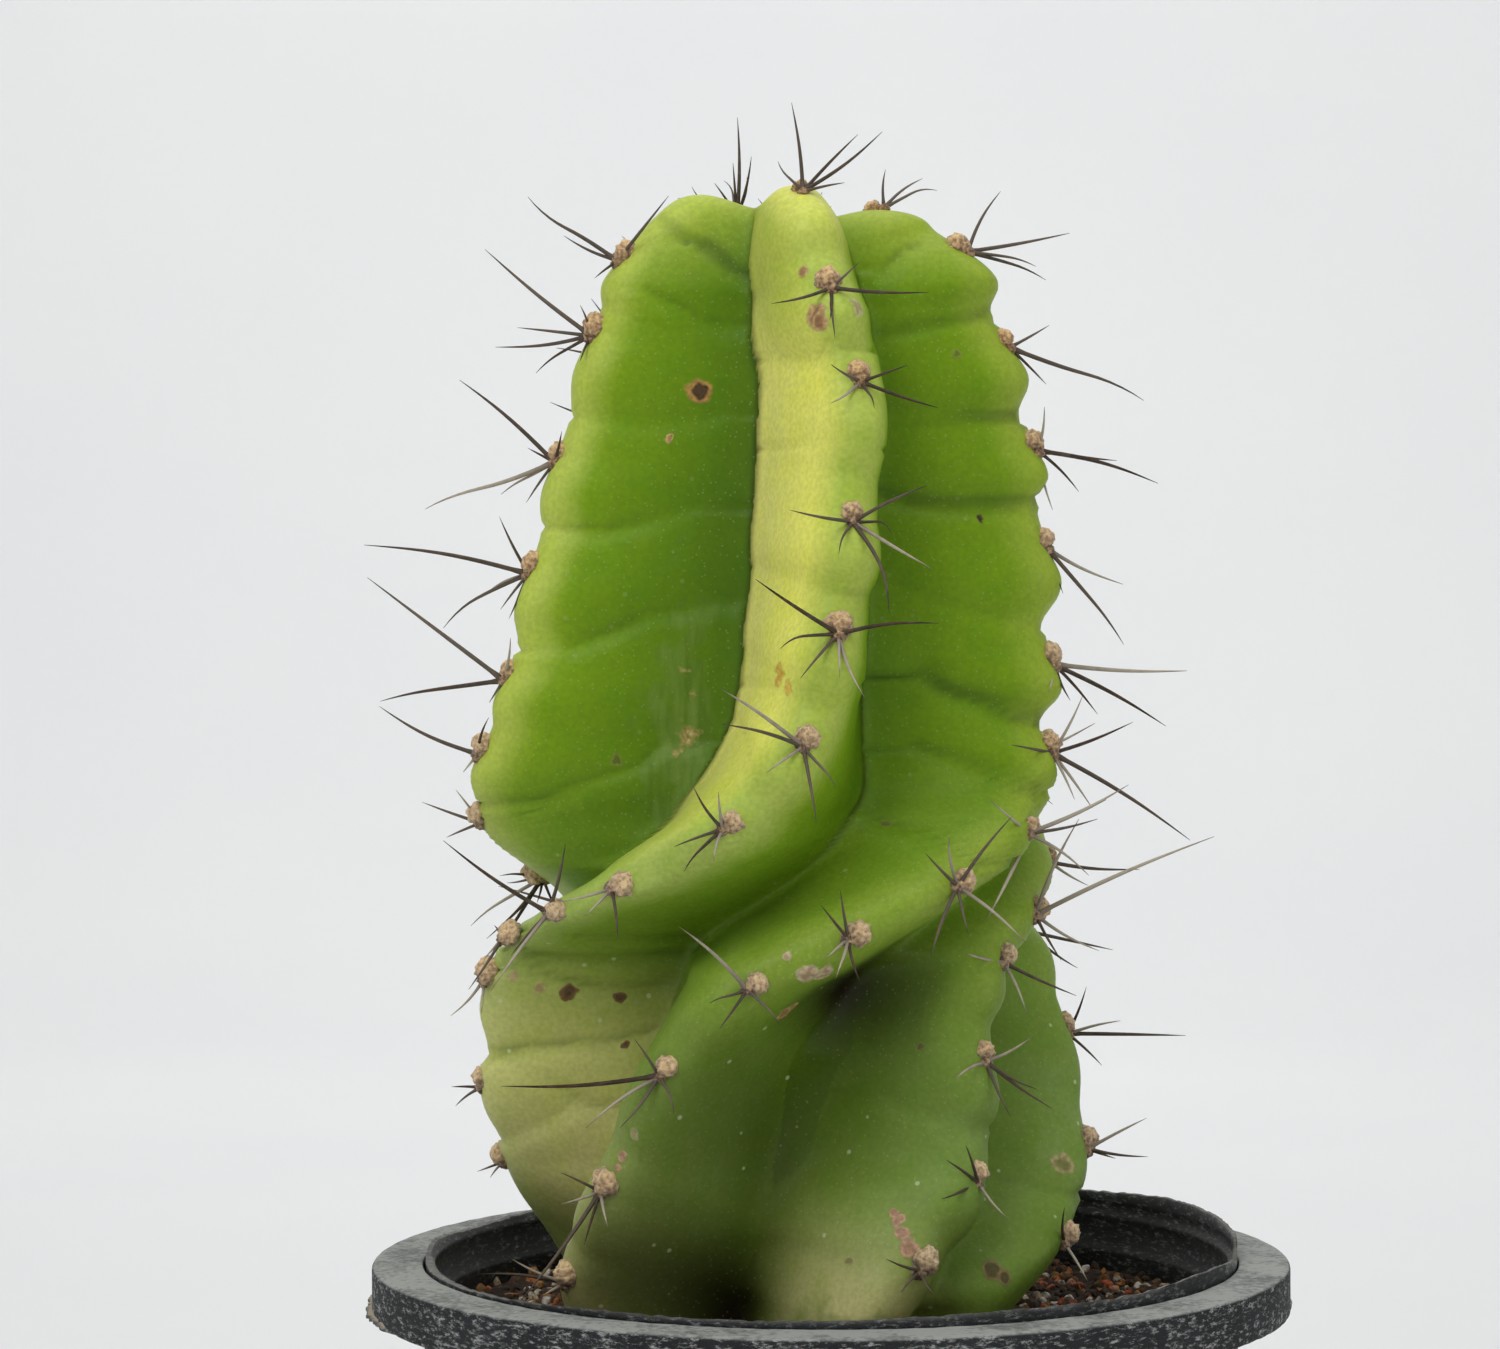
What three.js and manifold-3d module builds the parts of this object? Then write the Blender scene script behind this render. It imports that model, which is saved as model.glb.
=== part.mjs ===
// Potted spiral cactus: a five-ribbed stem whose ribs wind round it, grown in a thin pot with a
// ragged cut edge that stands inside a round nursery pot. Millimetres, +Z up, the origin at the
// middle of the outer pot's base. Azimuth 0 looks along -Y, the front, and +X is at 90 degrees.
import * as THREE from 'three';
import { mergeVertices } from 'three/addons/utils/BufferGeometryUtils.js';
import Module from 'manifold-3d';

const wasm = await Module();
wasm.setup();

// Driving dimensions.
const GAP = 0.3;                  // between pieces that touch
const POT_HEIGHT = 180;
const POT_BASE_RADIUS = 73.5;
const POT_TOP_RADIUS = 90.4;      // outside of the wall, level with the rim
const POT_WALL = 1.5;
const RIM_RADIUS = 100;
const RIM_DROP = 10;              // height of the rim's outer skirt
const RIM_BURR = 2.2;             // torn flange at the foot of the skirt, on the left
const HOLE_RADIUS = 6;            // drainage
const HOLE_CIRCLE = 46;
const HOLE_COUNT = 6;
const LINER_CLEARANCE = 0.5;      // between the two pots at the rim
const LINER_WALL = 1;
const LINER_BASE_RADIUS = 66;
const LEDGE = 1;                  // each moulded ledge inside the liner
const LEDGE_HEIGHTS = [0.6, -7.4];    // above the rim
const SOIL_DROP = 13;             // from the rim to the soil
const STEM_OFFSET = -9;           // the stem stands left of the pot's middle
const STEM_HEIGHT = 244;          // soil to the top of the tallest rib
const STEM_SPREAD = 140;          // across the widest ribs
const STEM_BURIED = 42;
const PAD_RADIUS = 3.3;           // woolly pad on a rib's crest
const SPINE_RADIUS = 0.65;
const ROUND = 40;                 // facets round a pot
const STEM_SIDES = 48;

// The rib tables below describe a stem of this size, and these two factors fit them to the one built.
const TALL = STEM_HEIGHT / 244;
const WIDE = STEM_SPREAD / 140;
const SOIL_TOP = POT_HEIGHT - SOIL_DROP;

const materials = {
  outerPot: new THREE.MeshStandardMaterial({ color: 0x34363a, roughness: 0.75, metalness: 0 }),
  innerPot: new THREE.MeshStandardMaterial({ color: 0x1d1f20, roughness: 0.55, metalness: 0 }),
  soil: new THREE.MeshStandardMaterial({ color: 0x3d2c20, roughness: 1, metalness: 0 }),
  stem: new THREE.MeshStandardMaterial({ color: 0x6f9a2e, roughness: 0.55, metalness: 0 }),
  spines: new THREE.MeshStandardMaterial({ color: 0x6b5c50, roughness: 0.8, metalness: 0 }),
};

const group = new THREE.Group();

// ---- solids -------------------------------------------------------------------------------------

function solidOf(geometry) {
  const bare = geometry.clone();
  bare.deleteAttribute('normal');
  bare.deleteAttribute('uv');
  const merged = mergeVertices(bare, 1e-4);
  return new wasm.Manifold(new wasm.Mesh({
    numProp: 3,
    vertProperties: new Float32Array(merged.attributes.position.array),
    triVerts: new Uint32Array(merged.index.array),
  }));
}

function addMesh(name, solid, material) {
  const { vertProperties, triVerts } = solid.getMesh();
  const geometry = new THREE.BufferGeometry();
  geometry.setAttribute('position', new THREE.BufferAttribute(vertProperties, 3));
  geometry.setIndex(new THREE.BufferAttribute(triVerts, 1));
  geometry.computeVertexNormals();
  const mesh = new THREE.Mesh(geometry, material);
  mesh.name = name;
  group.add(mesh);
}

// A profile of [radius, height] pairs turned about the Z axis, listed so that its faces point out.
function turned(profile, sides = ROUND) {
  const points = profile.map(([radius, height]) => new THREE.Vector2(radius, height));
  return solidOf(new THREE.LatheGeometry(points, sides).rotateX(Math.PI / 2));
}

// Closed skin over rows of points, one ring per row, with a single point at each end.
function skinned(rows, bottom, top) {
  const sides = rows[0].length;
  const points = [bottom, ...rows.flat(), top];
  const faces = [];
  for (let i = 0; i < sides; i += 1) {
    const next = (i + 1) % sides;
    faces.push(0, 1 + next, 1 + i);
    for (let row = 0; row + 1 < rows.length; row += 1) {
      const low = 1 + row * sides;
      const high = low + sides;
      faces.push(low + i, low + next, high + next);
      faces.push(low + i, high + next, high + i);
    }
    const last = 1 + (rows.length - 1) * sides;
    faces.push(last + i, last + next, points.length - 1);
  }
  const geometry = new THREE.BufferGeometry().setFromPoints(points);
  geometry.setIndex(faces);
  geometry.computeVertexNormals();
  return geometry;
}

// The same skin pushed out by a distance, to cut room for itself in what it touches.
function grown(geometry, distance) {
  const fat = geometry.clone();
  const { position, normal } = fat.attributes;
  for (let i = 0; i < position.count; i += 1) {
    position.setXYZ(
      i,
      position.getX(i) + distance * normal.getX(i),
      position.getY(i) + distance * normal.getY(i),
      position.getZ(i) + distance * normal.getZ(i),
    );
  }
  return fat;
}

// Smooth curve through rows of numbers whose first number is the place along it, in falling order.
function along(rows, place) {
  const at = Math.min(Math.max(place, rows.at(-1)[0]), rows[0][0]);
  let i = 0;
  while (i < rows.length - 2 && rows[i + 1][0] > at) i += 1;
  const [a, b] = [rows[i], rows[i + 1]];
  const p = rows[Math.max(i - 1, 0)];
  const q = rows[Math.min(i + 2, rows.length - 1)];
  const span = b[0] - a[0];
  const t = (at - a[0]) / span;
  return a.slice(1).map((value, n) => {
    const k = n + 1;
    const startSlope = ((b[k] - p[k]) / (b[0] - p[0])) * span;
    const endSlope = ((q[k] - a[k]) / (q[0] - a[0])) * span;
    return value * (2 * t ** 3 - 3 * t ** 2 + 1) + startSlope * (t ** 3 - 2 * t ** 2 + t)
      + b[k] * (3 * t ** 2 - 2 * t ** 3) + endSlope * (t ** 3 - t ** 2);
  });
}

// ---- stem ---------------------------------------------------------------------------------------

// A place along a rib is its height above the soil up to the shoulder, and from there on it counts
// on over the rounded top to the growing point.
const SHOULDER = 219;
const CAP_RUN = 64;
const ROW_STEP = 7;
const CAP_ROWS = 8;
const NOTCH = 1.6;                // dip at each pad
const SWELL = 1.8;                // swelling between two pads

// Rounded top: [share of the run, share of the shoulder's radius, height above the shoulder].
const CREST_TOP = [
  [1, 0, 8], [0.875, 0.13, 14], [0.75, 0.26, 21], [0.625, 0.4, 25], [0.5, 0.55, 25],
  [0.375, 0.71, 21], [0.25, 0.85, 14.5], [0.125, 0.95, 7], [0, 1, 0],
];
const VALLEY_TOP = [
  [1, 0, 8], [0.75, 0.34, 8], [0.5, 0.66, 8], [0.25, 0.9, 5.5], [0, 1, 0],
];
const VALLEY_RADIUS = 20;

// Each rib: its crest's [height above the soil, azimuth, radius], half its thickness at the crest and
// at the root, where its crest ends on top, and its pads. A pad is its place along the rib, then the
// tips of its spines, measured from the pad.
const ribs = {
  a: {
    route: [
      [219, -70, 43], [189, -76, 51], [164, -77, 57], [140, -78, 62.5], [125, -80, 67.5], [114, -84, 69],
      [106, -88, 65], [99, -94, 58], [92, -104, 50], [85, -128, 50], [77, -152, 57], [63, -175, 63],
      [38, -195, 62], [13, -212, 57], [-1, -218, 50],
    ],
    crest: 12.5, root: 21, topAzimuth: -60, topHeight: 1,
    pads: [
      [268, [-11, 2, 8], [-14, -2, 5], [-2, 1, 13], [-1, 3, 23], [-6, -5, 8]],
      [232, [-21, 12, 14], [10, -9, 12], [-13, 6, 5], [-6, -4, -5]],
      [215, [-24, 8, 18], [-22, 10, -3], [-17, 7, 1], [-13, 5, -9], [-3, -4, 5], [-3, -5, -7]],
      [188, [-22, 10, 17], [-30, 14, -11], [-7, 5, 2], [-13, 8, -8], [-7, -1, -10], [1, -8, 5]],
      [164, [-36, -2, 5], [-20, 10, -13], [-11, 8, -6], [-7, -1, 11], [-7, 1, -9], [-5, -2, -11]],
      [141, [-30, -2, 21], [-29, 16, -6], [1, -8, 8], [-4, -2, -6]],
      [125, [-23, 10, 9], [2, -8, 7], [-4, -2, -5]],
      [110, [-13, 5, 3], [-8, 9, -5], [-5, -3, 6]],
      [60, [-3, 30, 8], [-9, 12, -4], [9, 9, 3]],
    ],
  },
  b: {
    route: [
      [219, 12, 46], [203, 17, 51], [174, 14, 55], [151, 10, 59], [128, 3, 61], [111, -12, 62],
      [99, -33, 62], [92, -51, 63.5], [86, -66, 65.5], [73, -77, 67.5], [53, -82, 67.5], [35, -92, 63],
      [18, -108, 57], [-1, -120, 50],
    ],
    crest: 11.5, root: 13, topAzimuth: 0, topHeight: 1.02,
    pads: [
      [248, [-2, 4, 19], [12, 2, 12], [17, -3, 12], [9, -6, 1], [-5, -2, 6]],
      [223, [-12, -12, -5], [20, -14, -3], [1, -10, -12], [0, -8, -8], [6, -3, 4]],
      [203, [-6, -8, 2], [10, -5, 2], [16, -8, -7], [3, -6, -7], [-6, -9, -6]],
      [174, [-13, -13, 1], [15, -9, 6], [16, -10, -11], [7, -15, -20], [8, -5, -4], [-3, -9, -8]],
      [151, [-17, -17, 10], [20, -12, 1], [5, -10, -14], [0, -9, -10], [-8, -11, -10], [-12, -12, -4]],
      [128, [-17, -16, 11], [-17, -15, 4], [-8, -9, -6], [2, -12, -16], [6, -8, -9]],
      [111, [-7, -6, 8], [-2, -6, 7], [-11, -7, -4], [-9, -8, -9], [-3, -6, -7]],
      [98, [-12, -4, -3], [-7, -4, -6], [0, -10, -10]],
      [92, [-23, -2, 15], [3, -14, 15], [-13, -6, -16], [-9, -3, -9]],
      [86, [-8, -6, -11], [-5, 0, -5], [-3, 1, 2]],
      [77, [-8, -1, -9], [-1, -6, -8]],
      [53, [-7, 6, -2], [-6, 4, -6]],
      [35, [-6, 5, -4], [-3, 2, -5]],
    ],
  },
  c: {
    route: [
      [219, 72, 48], [190, 77, 55.5], [169, 78, 57.5], [144, 78, 59], [125, 75, 59], [110, 65, 58.5],
      [98, 38, 58], [88, 13, 58], [77, -9, 58.5], [60, -27, 58], [35, -42, 58.5], [13, -57, 57],
      [-1, -62, 51],
    ],
    crest: 12.5, root: 19, topAzimuth: 62, topHeight: 0.86,
    pads: [
      [256, [2, 3, 9], [13, -1, 4], [10, 3, 7]],
      [235, [24, 8, 4], [9, 7, 13], [16, -2, -4], [18, -3, -7]],
      [212, [31, 12, -12], [10, 6, 4], [9, 1, -9]],
      [190, [28, 12, -8], [19, 12, -3], [10, 3, -10], [4, -1, -14], [2, -5, 8]],
      [169, [18, 10, -9], [17, -2, -22], [4, -2, -11]],
      [144, [31, 15, -3], [26, 12, -15], [10, -1, -12], [4, -3, -9], [-1, -8, -7]],
      [125, [30, -2, -20], [19, 11, 5], [7, -2, 11], [-9, -13, 1], [9, -2, -13], [5, -5, -11]],
      [108, [-9, -12, 7], [17, 6, 6], [22, 9, 9], [15, 4, 2], [13, 3, -10], [-10, -16, -18]],
      [98, [10, -7, 14], [-3, -11, 10], [-8, -13, 7], [-7, -16, -14], [1, -9, -10], [13, -6, -12]],
      [88, [-3, -8, 10], [-7, -9, 7], [-6, -8, -4], [-4, -9, -8], [1, -7, -9]],
      [78, [-15, -12, 13], [-9, -6, -3], [-7, -8, -8], [5, -8, -7]],
      [60, [-33, -10, -2], [-6, -5, 7], [-16, -7, -11], [-9, -7, -11], [2, -9, -8]],
      [35, [-17, -12, -22], [-9, -2, 3], [-9, -6, -3], [-4, -9, -11], [1, -11, -7]],
      [14, [-12, 0, 4], [-19, 4, 0], [-5, -6, -3]],
    ],
  },
  d: {
    route: [
      [219, 146, 45], [183, 148, 54], [143, 143, 58], [118, 126, 59], [103, 98, 58], [91, 74, 56],
      [80, 57, 54], [61, 50, 54], [35, 48, 55], [20, 28, 56], [-1, 20, 50],
    ],
    crest: 12.5, root: 17, topAzimuth: 140, topHeight: 0.9,
    pads: [
      [228, [8, 20, 12], [14, 12, 2], [-4, 15, 0]],
      [190, [18, 28, 6], [14, 14, -8], [-2, 12, 6]],
      [152, [20, 27, -8], [16, 12, 8], [2, 14, -6]],
      [120, [26, 20, 8], [15, 4, -10], [4, 13, -4]],
      [100, [21, 8, -3], [9, 0, -6]],
      [90, [38, -4, 16], [9, -6, 20], [14, 4, -9], [5, -8, -10]],
      [81, [-9, -12, 2], [15, -2, -8], [4, -9, -11]],
      [61, [-7, -12, -4], [11, -3, -7], [14, -3, -11], [5, -8, -12], [10, -2, 4]],
      [36, [-7, -12, 5], [-3, -12, 8], [-8, -12, -3], [6, -7, -8]],
      [19, [-8, -12, 3], [-5, -11, -4], [2, -9, -5]],
    ],
  },
  e: {
    route: [
      [219, 218, 45], [183, 220, 54], [143, 212, 60], [118, 196, 62], [103, 160, 60], [89, 125, 58],
      [77, 107, 60], [61, 99, 62.5], [37, 88, 65], [20, 73, 62], [8, 58, 56], [-1, 54, 50],
    ],
    crest: 12.5, root: 17, topAzimuth: 212, topHeight: 0.95,
    pads: [
      [228, [-12, 16, 14], [-14, 9, -2], [3, 15, 4]],
      [197, [-22, 18, 6], [-16, 9, -8], [-4, 13, 2]],
      [166, [-24, 16, -12], [-15, 8, 6], [-3, 14, -4]],
      [135, [-18, 26, 8], [-14, 10, -9], [4, 13, 2]],
      [112, [-2, 32, 10], [-10, 12, -6], [10, 12, -2]],
      [83, [20, 0, -5], [12, -1, -9]],
      [62, [26, -8, -1], [12, -5, 2], [5, 1, 9], [8, -4, -8]],
      [38, [13, -5, 6], [13, -8, -2], [7, 4, -4]],
      [20, [-1, -11, 8], [4, -9, -8]],
    ],
  },
};

// How far the ribs have wound round at a height, so that the skin's columns follow them.
const WINDING = [[219, 0], [140, -4], [115, -20], [100, -60], [85, -92], [60, -115], [20, -135], [-1, -142]];

// Radius added by a rib's swellings: a dip at each pad and a swelling below it, gentler where
// the pads crowd together.
function swelling(pads, place) {
  const above = pads.findLastIndex(([at]) => at >= place);
  if (above < 0 || above === pads.length - 1) return 0;
  const spacing = pads[above][0] - pads[above + 1][0];
  const share = (pads[above][0] - place) / spacing;
  const strength = Math.min(spacing / 24, 1);
  return strength * (-NOTCH + (NOTCH + SWELL) * (0.5 - 0.5 * Math.cos(2 * Math.PI * share ** 0.75)));
}

// A rib at a place along it: azimuth and radius of its crest, and half its thickness at both ends.
function ribAt(rib, place) {
  const low = Math.max(Math.min(place, SHOULDER), 0);
  const [azimuth, radius] = along(rib.route, low);
  const step = 1;
  const slope = (along(rib.route, low + step)[0] - along(rib.route, low - step)[0]) / (2 * step);
  const lean = Math.hypot(1, radius * THREE.MathUtils.degToRad(slope));
  const share = Math.max(0, (place - SHOULDER) / CAP_RUN);
  const [onTop] = along(CREST_TOP, share);
  const buried = Math.max(0, -place / STEM_BURIED);
  const shrink = onTop * Math.sqrt(1 - 0.9 * buried ** 2);
  const plump = 0.55 + 0.45 * shrink;
  return {
    azimuth: azimuth + (rib.topAzimuth - azimuth) * share,
    radius: (radius + swelling(rib.pads, place)) * shrink,
    crest: rib.crest * Math.min(lean, 2.2) * plump,
    root: rib.root * Math.min(lean, 1.5) * plump,
  };
}

// Point of the stem's skin on a bearing from its axis, at a place along the ribs.
function skinPoint(bearing, place) {
  const join = 9;                 // sharpness of the valley between two ribs
  const squareness = 2.6;         // of a rib's rounded crest
  const share = Math.max(0, (place - SHOULDER) / CAP_RUN);
  let sum = 0;
  let crestSum = 0;
  let heightSum = 0;
  for (const rib of Object.values(ribs)) {
    const { azimuth, radius, crest, root } = ribAt(rib, place);
    const turn = THREE.MathUtils.degToRad(bearing - azimuth);
    const side = Math.cos(turn) > 0 ? Math.abs(Math.sin(turn)) : 1;
    const half = crest + (root - crest) * side;
    const blunt = (side / half) ** squareness + Math.max(radius, 0.5) ** -squareness;
    const reach = blunt ** (-1 / squareness);
    const weight = reach ** join;
    sum += weight;
    crestSum += weight * radius;
    heightSum += weight * rib.topHeight;
  }
  const reach = sum ** (1 / join);
  let height = place;
  if (share > 0) {
    const [crestShare, crestHeight] = along(CREST_TOP, share);
    const [valleyShare, valleyHeight] = along(VALLEY_TOP, share);
    const valley = VALLEY_RADIUS * valleyShare * crestShare;
    const rise = (reach - valley) / Math.max(crestSum / sum - valley, 0.01);
    const lift = Math.min(Math.max(rise, 0), 1) ** 0.8;
    const tallness = 1 + (heightSum / sum - 1) * Math.sin(Math.PI * share);
    height = SHOULDER + valleyHeight + (crestHeight * tallness - valleyHeight) * lift;
  }
  const angle = THREE.MathUtils.degToRad(bearing);
  return new THREE.Vector3(
    STEM_OFFSET + reach * WIDE * Math.sin(angle),
    -reach * WIDE * Math.cos(angle),
    SOIL_TOP + height * (height > 0 ? TALL : 1),
  );
}

function stemSkin() {
  const places = [];
  for (let place = 1 - STEM_BURIED; place < SHOULDER; place += ROW_STEP) places.push(place);
  for (let row = 0; row < CAP_ROWS; row += 1) places.push(SHOULDER + (CAP_RUN * row) / CAP_ROWS);
  const rows = places.map((place) => Array.from(
    { length: STEM_SIDES },
    (_, side) => skinPoint((360 * side) / STEM_SIDES + along(WINDING, place)[0], place),
  ));
  const bottom = new THREE.Vector3(STEM_OFFSET, 0, SOIL_TOP - STEM_BURIED);
  const top = new THREE.Vector3(STEM_OFFSET, 0, SOIL_TOP + (SHOULDER + CREST_TOP[0][2]) * TALL);
  return skinned(rows, bottom, top);
}

const skin = stemSkin();
const stem = solidOf(skin);
const room = solidOf(grown(skin, GAP)).add(stem);
addMesh('stem', stem, materials.stem);

// ---- pads and spines ----------------------------------------------------------------------------

const up = new THREE.Vector3(0, 1, 0);

// A three-sided spine from one point to another.
function spine(from, to) {
  const length = from.distanceTo(to);
  const cone = new THREE.ConeGeometry(SPINE_RADIUS, length, 3).translate(0, length / 2, 0);
  const turn = new THREE.Quaternion().setFromUnitVectors(up, to.clone().sub(from).normalize());
  return solidOf(cone.applyQuaternion(turn).translate(from.x, from.y, from.z));
}

// A woolly dome with its spines, cut back to rest on the stem, without what would lie beyond it.
function cluster(centre, tips) {
  const pad = new THREE.SphereGeometry(PAD_RADIUS, 6, 4).translate(centre.x, centre.y, centre.z);
  let solid = solidOf(pad);
  for (const tip of tips) {
    solid = solid.add(spine(centre, new THREE.Vector3(...tip).add(centre)));
  }
  const parts = solid.subtract(room).decompose();
  return parts.reduce((best, part) => (part.volume() > best.volume() ? part : best));
}

for (const [letter, rib] of Object.entries(ribs)) {
  rib.pads.forEach(([place, ...tips], index) => {
    const centre = skinPoint(ribAt(rib, place).azimuth, place);
    const name = `spines_${letter}_${String(index + 1).padStart(2, '0')}`;
    addMesh(name, cluster(centre, tips), materials.spines);
  });
}

// Young wool and spines at the growing point, in the hollow between the ribs' tops.
const CROWN_TIPS = [[5, 2, 17], [8, -3, 14], [11, 3, 13], [2, 8, 16], [-6, 6, 18], [-9, 1, 14], [7, 8, 12]];
const growingPoint = new THREE.Vector3(STEM_OFFSET, 0, SOIL_TOP + (SHOULDER + CREST_TOP[0][2]) * TALL);
addMesh('crown_tuft', cluster(growingPoint, CROWN_TIPS), materials.spines);

// ---- pots ---------------------------------------------------------------------------------------

// Outside radius of the outer pot's wall at a height.
const wallRadius = (height) => POT_BASE_RADIUS
  + ((POT_TOP_RADIUS - POT_BASE_RADIUS) * height) / POT_HEIGHT;

function outerPot() {
  const skirt = RIM_RADIUS - POT_WALL;
  const lip = POT_HEIGHT - POT_WALL;
  let pot = turned([
    [0, 0], [POT_BASE_RADIUS, 0], [wallRadius(lip), lip], [skirt, lip], [skirt, POT_HEIGHT - RIM_DROP],
    [RIM_RADIUS, POT_HEIGHT - RIM_DROP], [RIM_RADIUS, POT_HEIGHT - 1], [RIM_RADIUS - 1, POT_HEIGHT],
    [POT_TOP_RADIUS - POT_WALL, POT_HEIGHT], [POT_BASE_RADIUS - POT_WALL, POT_WALL], [0, POT_WALL],
  ]);
  for (let i = 0; i < HOLE_COUNT; i += 1) {
    const angle = (2 * Math.PI * i) / HOLE_COUNT;
    const drill = new THREE.CylinderGeometry(HOLE_RADIUS, HOLE_RADIUS, 4 * POT_WALL, 16);
    drill.rotateX(Math.PI / 2).translate(HOLE_CIRCLE * Math.cos(angle), HOLE_CIRCLE * Math.sin(angle), 0);
    pot = pot.subtract(solidOf(drill));
  }
  // Torn flange along part of the skirt's foot.
  const from = Math.PI * 0.93;
  const to = Math.PI * 1.2;
  const torn = new THREE.Shape();
  torn.absarc(0, 0, RIM_RADIUS + RIM_BURR, from, to, false);
  torn.absarc(0, 0, RIM_RADIUS - POT_WALL / 2, to + 0.1, from - 0.1, true);
  const flange = new THREE.ExtrudeGeometry(torn, { depth: 1.2, bevelEnabled: false, curveSegments: 10 });
  return pot.add(solidOf(flange.translate(0, 0, POT_HEIGHT - RIM_DROP)));
}

// The liner's cut edge: [azimuth, height above the rim], ragged, tallest behind on the right.
const CUT_EDGE = [
  [180, 4], [150, 4.6], [135, 5.4], [118, 6.5], [104, 6.2], [90, 5], [84, 4.5], [80, 1], [74, 2.6], [61, 3.4],
  [42, 2.4], [22, 2.4], [6, 1.8], [-17, 1.3], [-35, 1.4], [-50, 0.6], [-75, 0.5], [-86, 1.2], [-96, 2.6],
  [-114, 1.4], [-130, 2.3], [-150, 3], [-180, 4],
];
const CUT_TOP = 8;                // of the uncut wall, above the rim

const linerTop = POT_TOP_RADIUS - POT_WALL - LINER_CLEARANCE;

// Inside radius of the liner below its ledges.
const linerInside = (height) => {
  const floor = POT_WALL + GAP;
  const base = LINER_BASE_RADIUS - LINER_WALL;
  const below = linerTop - LINER_WALL - LEDGE_HEIGHTS.length * LEDGE;
  return base + ((below - base) * (height - floor)) / (POT_HEIGHT - floor);
};

function innerPot() {
  const floor = POT_WALL + GAP;
  const top = POT_HEIGHT + CUT_TOP;
  const inside = linerTop - LINER_WALL;
  const ledges = LEDGE_HEIGHTS.flatMap((height, n) => [
    [inside - n * LEDGE, POT_HEIGHT + height + 0.5],
    [inside - (n + 1) * LEDGE, POT_HEIGHT + height],
  ]);
  const uncut = turned([
    [0, floor], [LINER_BASE_RADIUS, floor], [linerTop - LEDGE, POT_HEIGHT - RIM_DROP], [linerTop, POT_HEIGHT],
    [linerTop, top], [inside, top], ...ledges,
    [linerInside(floor + LINER_WALL), floor + LINER_WALL], [0, floor + LINER_WALL],
  ]);
  // Everything above the ragged edge is cut away, straight in from the outside.
  const steps = 2 * ROUND;
  const ring = (radius, lift) => Array.from({ length: steps }, (_, i) => {
    const azimuth = (360 * i) / steps - 180;
    const angle = THREE.MathUtils.degToRad(azimuth);
    const rough = 0.35 * Math.sin(i * 2.4) + 0.25 * Math.sin(i * 5.1);
    const height = lift ?? along(CUT_EDGE, azimuth)[0] + rough;
    return new THREE.Vector3(radius * Math.sin(angle), -radius * Math.cos(angle), POT_HEIGHT + height);
  });
  const wide = linerTop + 5;
  const narrow = inside - 20;
  const cutter = skinned(
    [ring(narrow), ring(wide), ring(wide, CUT_TOP + 5)],
    new THREE.Vector3(0, 0, POT_HEIGHT + 1),
    new THREE.Vector3(0, 0, POT_HEIGHT + CUT_TOP + 5),
  );
  return uncut.subtract(solidOf(cutter));
}

function soilBed() {
  const bottom = POT_WALL + LINER_WALL + 2 * GAP;
  const bed = turned([
    [0, bottom], [linerInside(bottom) - GAP, bottom], [linerInside(SOIL_TOP) - GAP, SOIL_TOP],
    [linerInside(SOIL_TOP) * 0.7, SOIL_TOP + 1], [0, SOIL_TOP + 1],
  ]);
  return bed.subtract(room);
}

addMesh('soil', soilBed(), materials.soil);
addMesh('inner_pot', innerPot(), materials.innerPot);
addMesh('outer_pot', outerPot(), materials.outerPot);

export default group;
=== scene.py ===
import math
import random

import bpy
import numpy as np
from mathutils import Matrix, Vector, noise


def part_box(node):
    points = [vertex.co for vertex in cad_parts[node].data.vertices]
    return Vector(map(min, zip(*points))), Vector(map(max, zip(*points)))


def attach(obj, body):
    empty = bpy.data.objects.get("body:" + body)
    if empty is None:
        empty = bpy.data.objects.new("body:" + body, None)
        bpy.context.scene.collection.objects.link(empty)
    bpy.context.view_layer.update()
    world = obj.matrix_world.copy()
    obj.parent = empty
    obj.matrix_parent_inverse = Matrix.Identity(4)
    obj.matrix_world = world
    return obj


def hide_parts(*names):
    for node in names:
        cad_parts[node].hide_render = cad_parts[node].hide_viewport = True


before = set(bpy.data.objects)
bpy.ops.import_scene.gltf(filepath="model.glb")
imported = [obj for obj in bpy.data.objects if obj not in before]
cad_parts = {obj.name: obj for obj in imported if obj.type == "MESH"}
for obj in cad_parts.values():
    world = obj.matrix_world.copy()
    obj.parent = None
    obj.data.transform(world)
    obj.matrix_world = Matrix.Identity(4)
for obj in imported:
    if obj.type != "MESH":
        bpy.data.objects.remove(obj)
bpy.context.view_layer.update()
millimetre = 0.001
smoothly = {"interpolation_type": "SMOOTHSTEP"}    # for a range that starts and ends softly

potLow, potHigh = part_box("outer_pot")
linerLow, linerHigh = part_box("inner_pot")
soilLow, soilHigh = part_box("soil")
rimTop = potHigh.z / millimetre            # everything below is worked out in millimetres
soilTop = soilHigh.z / millimetre - 1      # the bed is 1 mm higher in its middle than at its edge


# ---- small tools ---------------------------------------------------------------------------------

def colour(hexCode):
    # sRGB hex to the linear values that a shader takes
    parts = [int(hexCode[i:i + 2], 16) / 255 for i in (1, 3, 5)]
    return tuple(v / 12.92 if v <= 0.04045 else ((v + 0.055) / 1.055) ** 2.4 for v in parts) + (1.0,)


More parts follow.
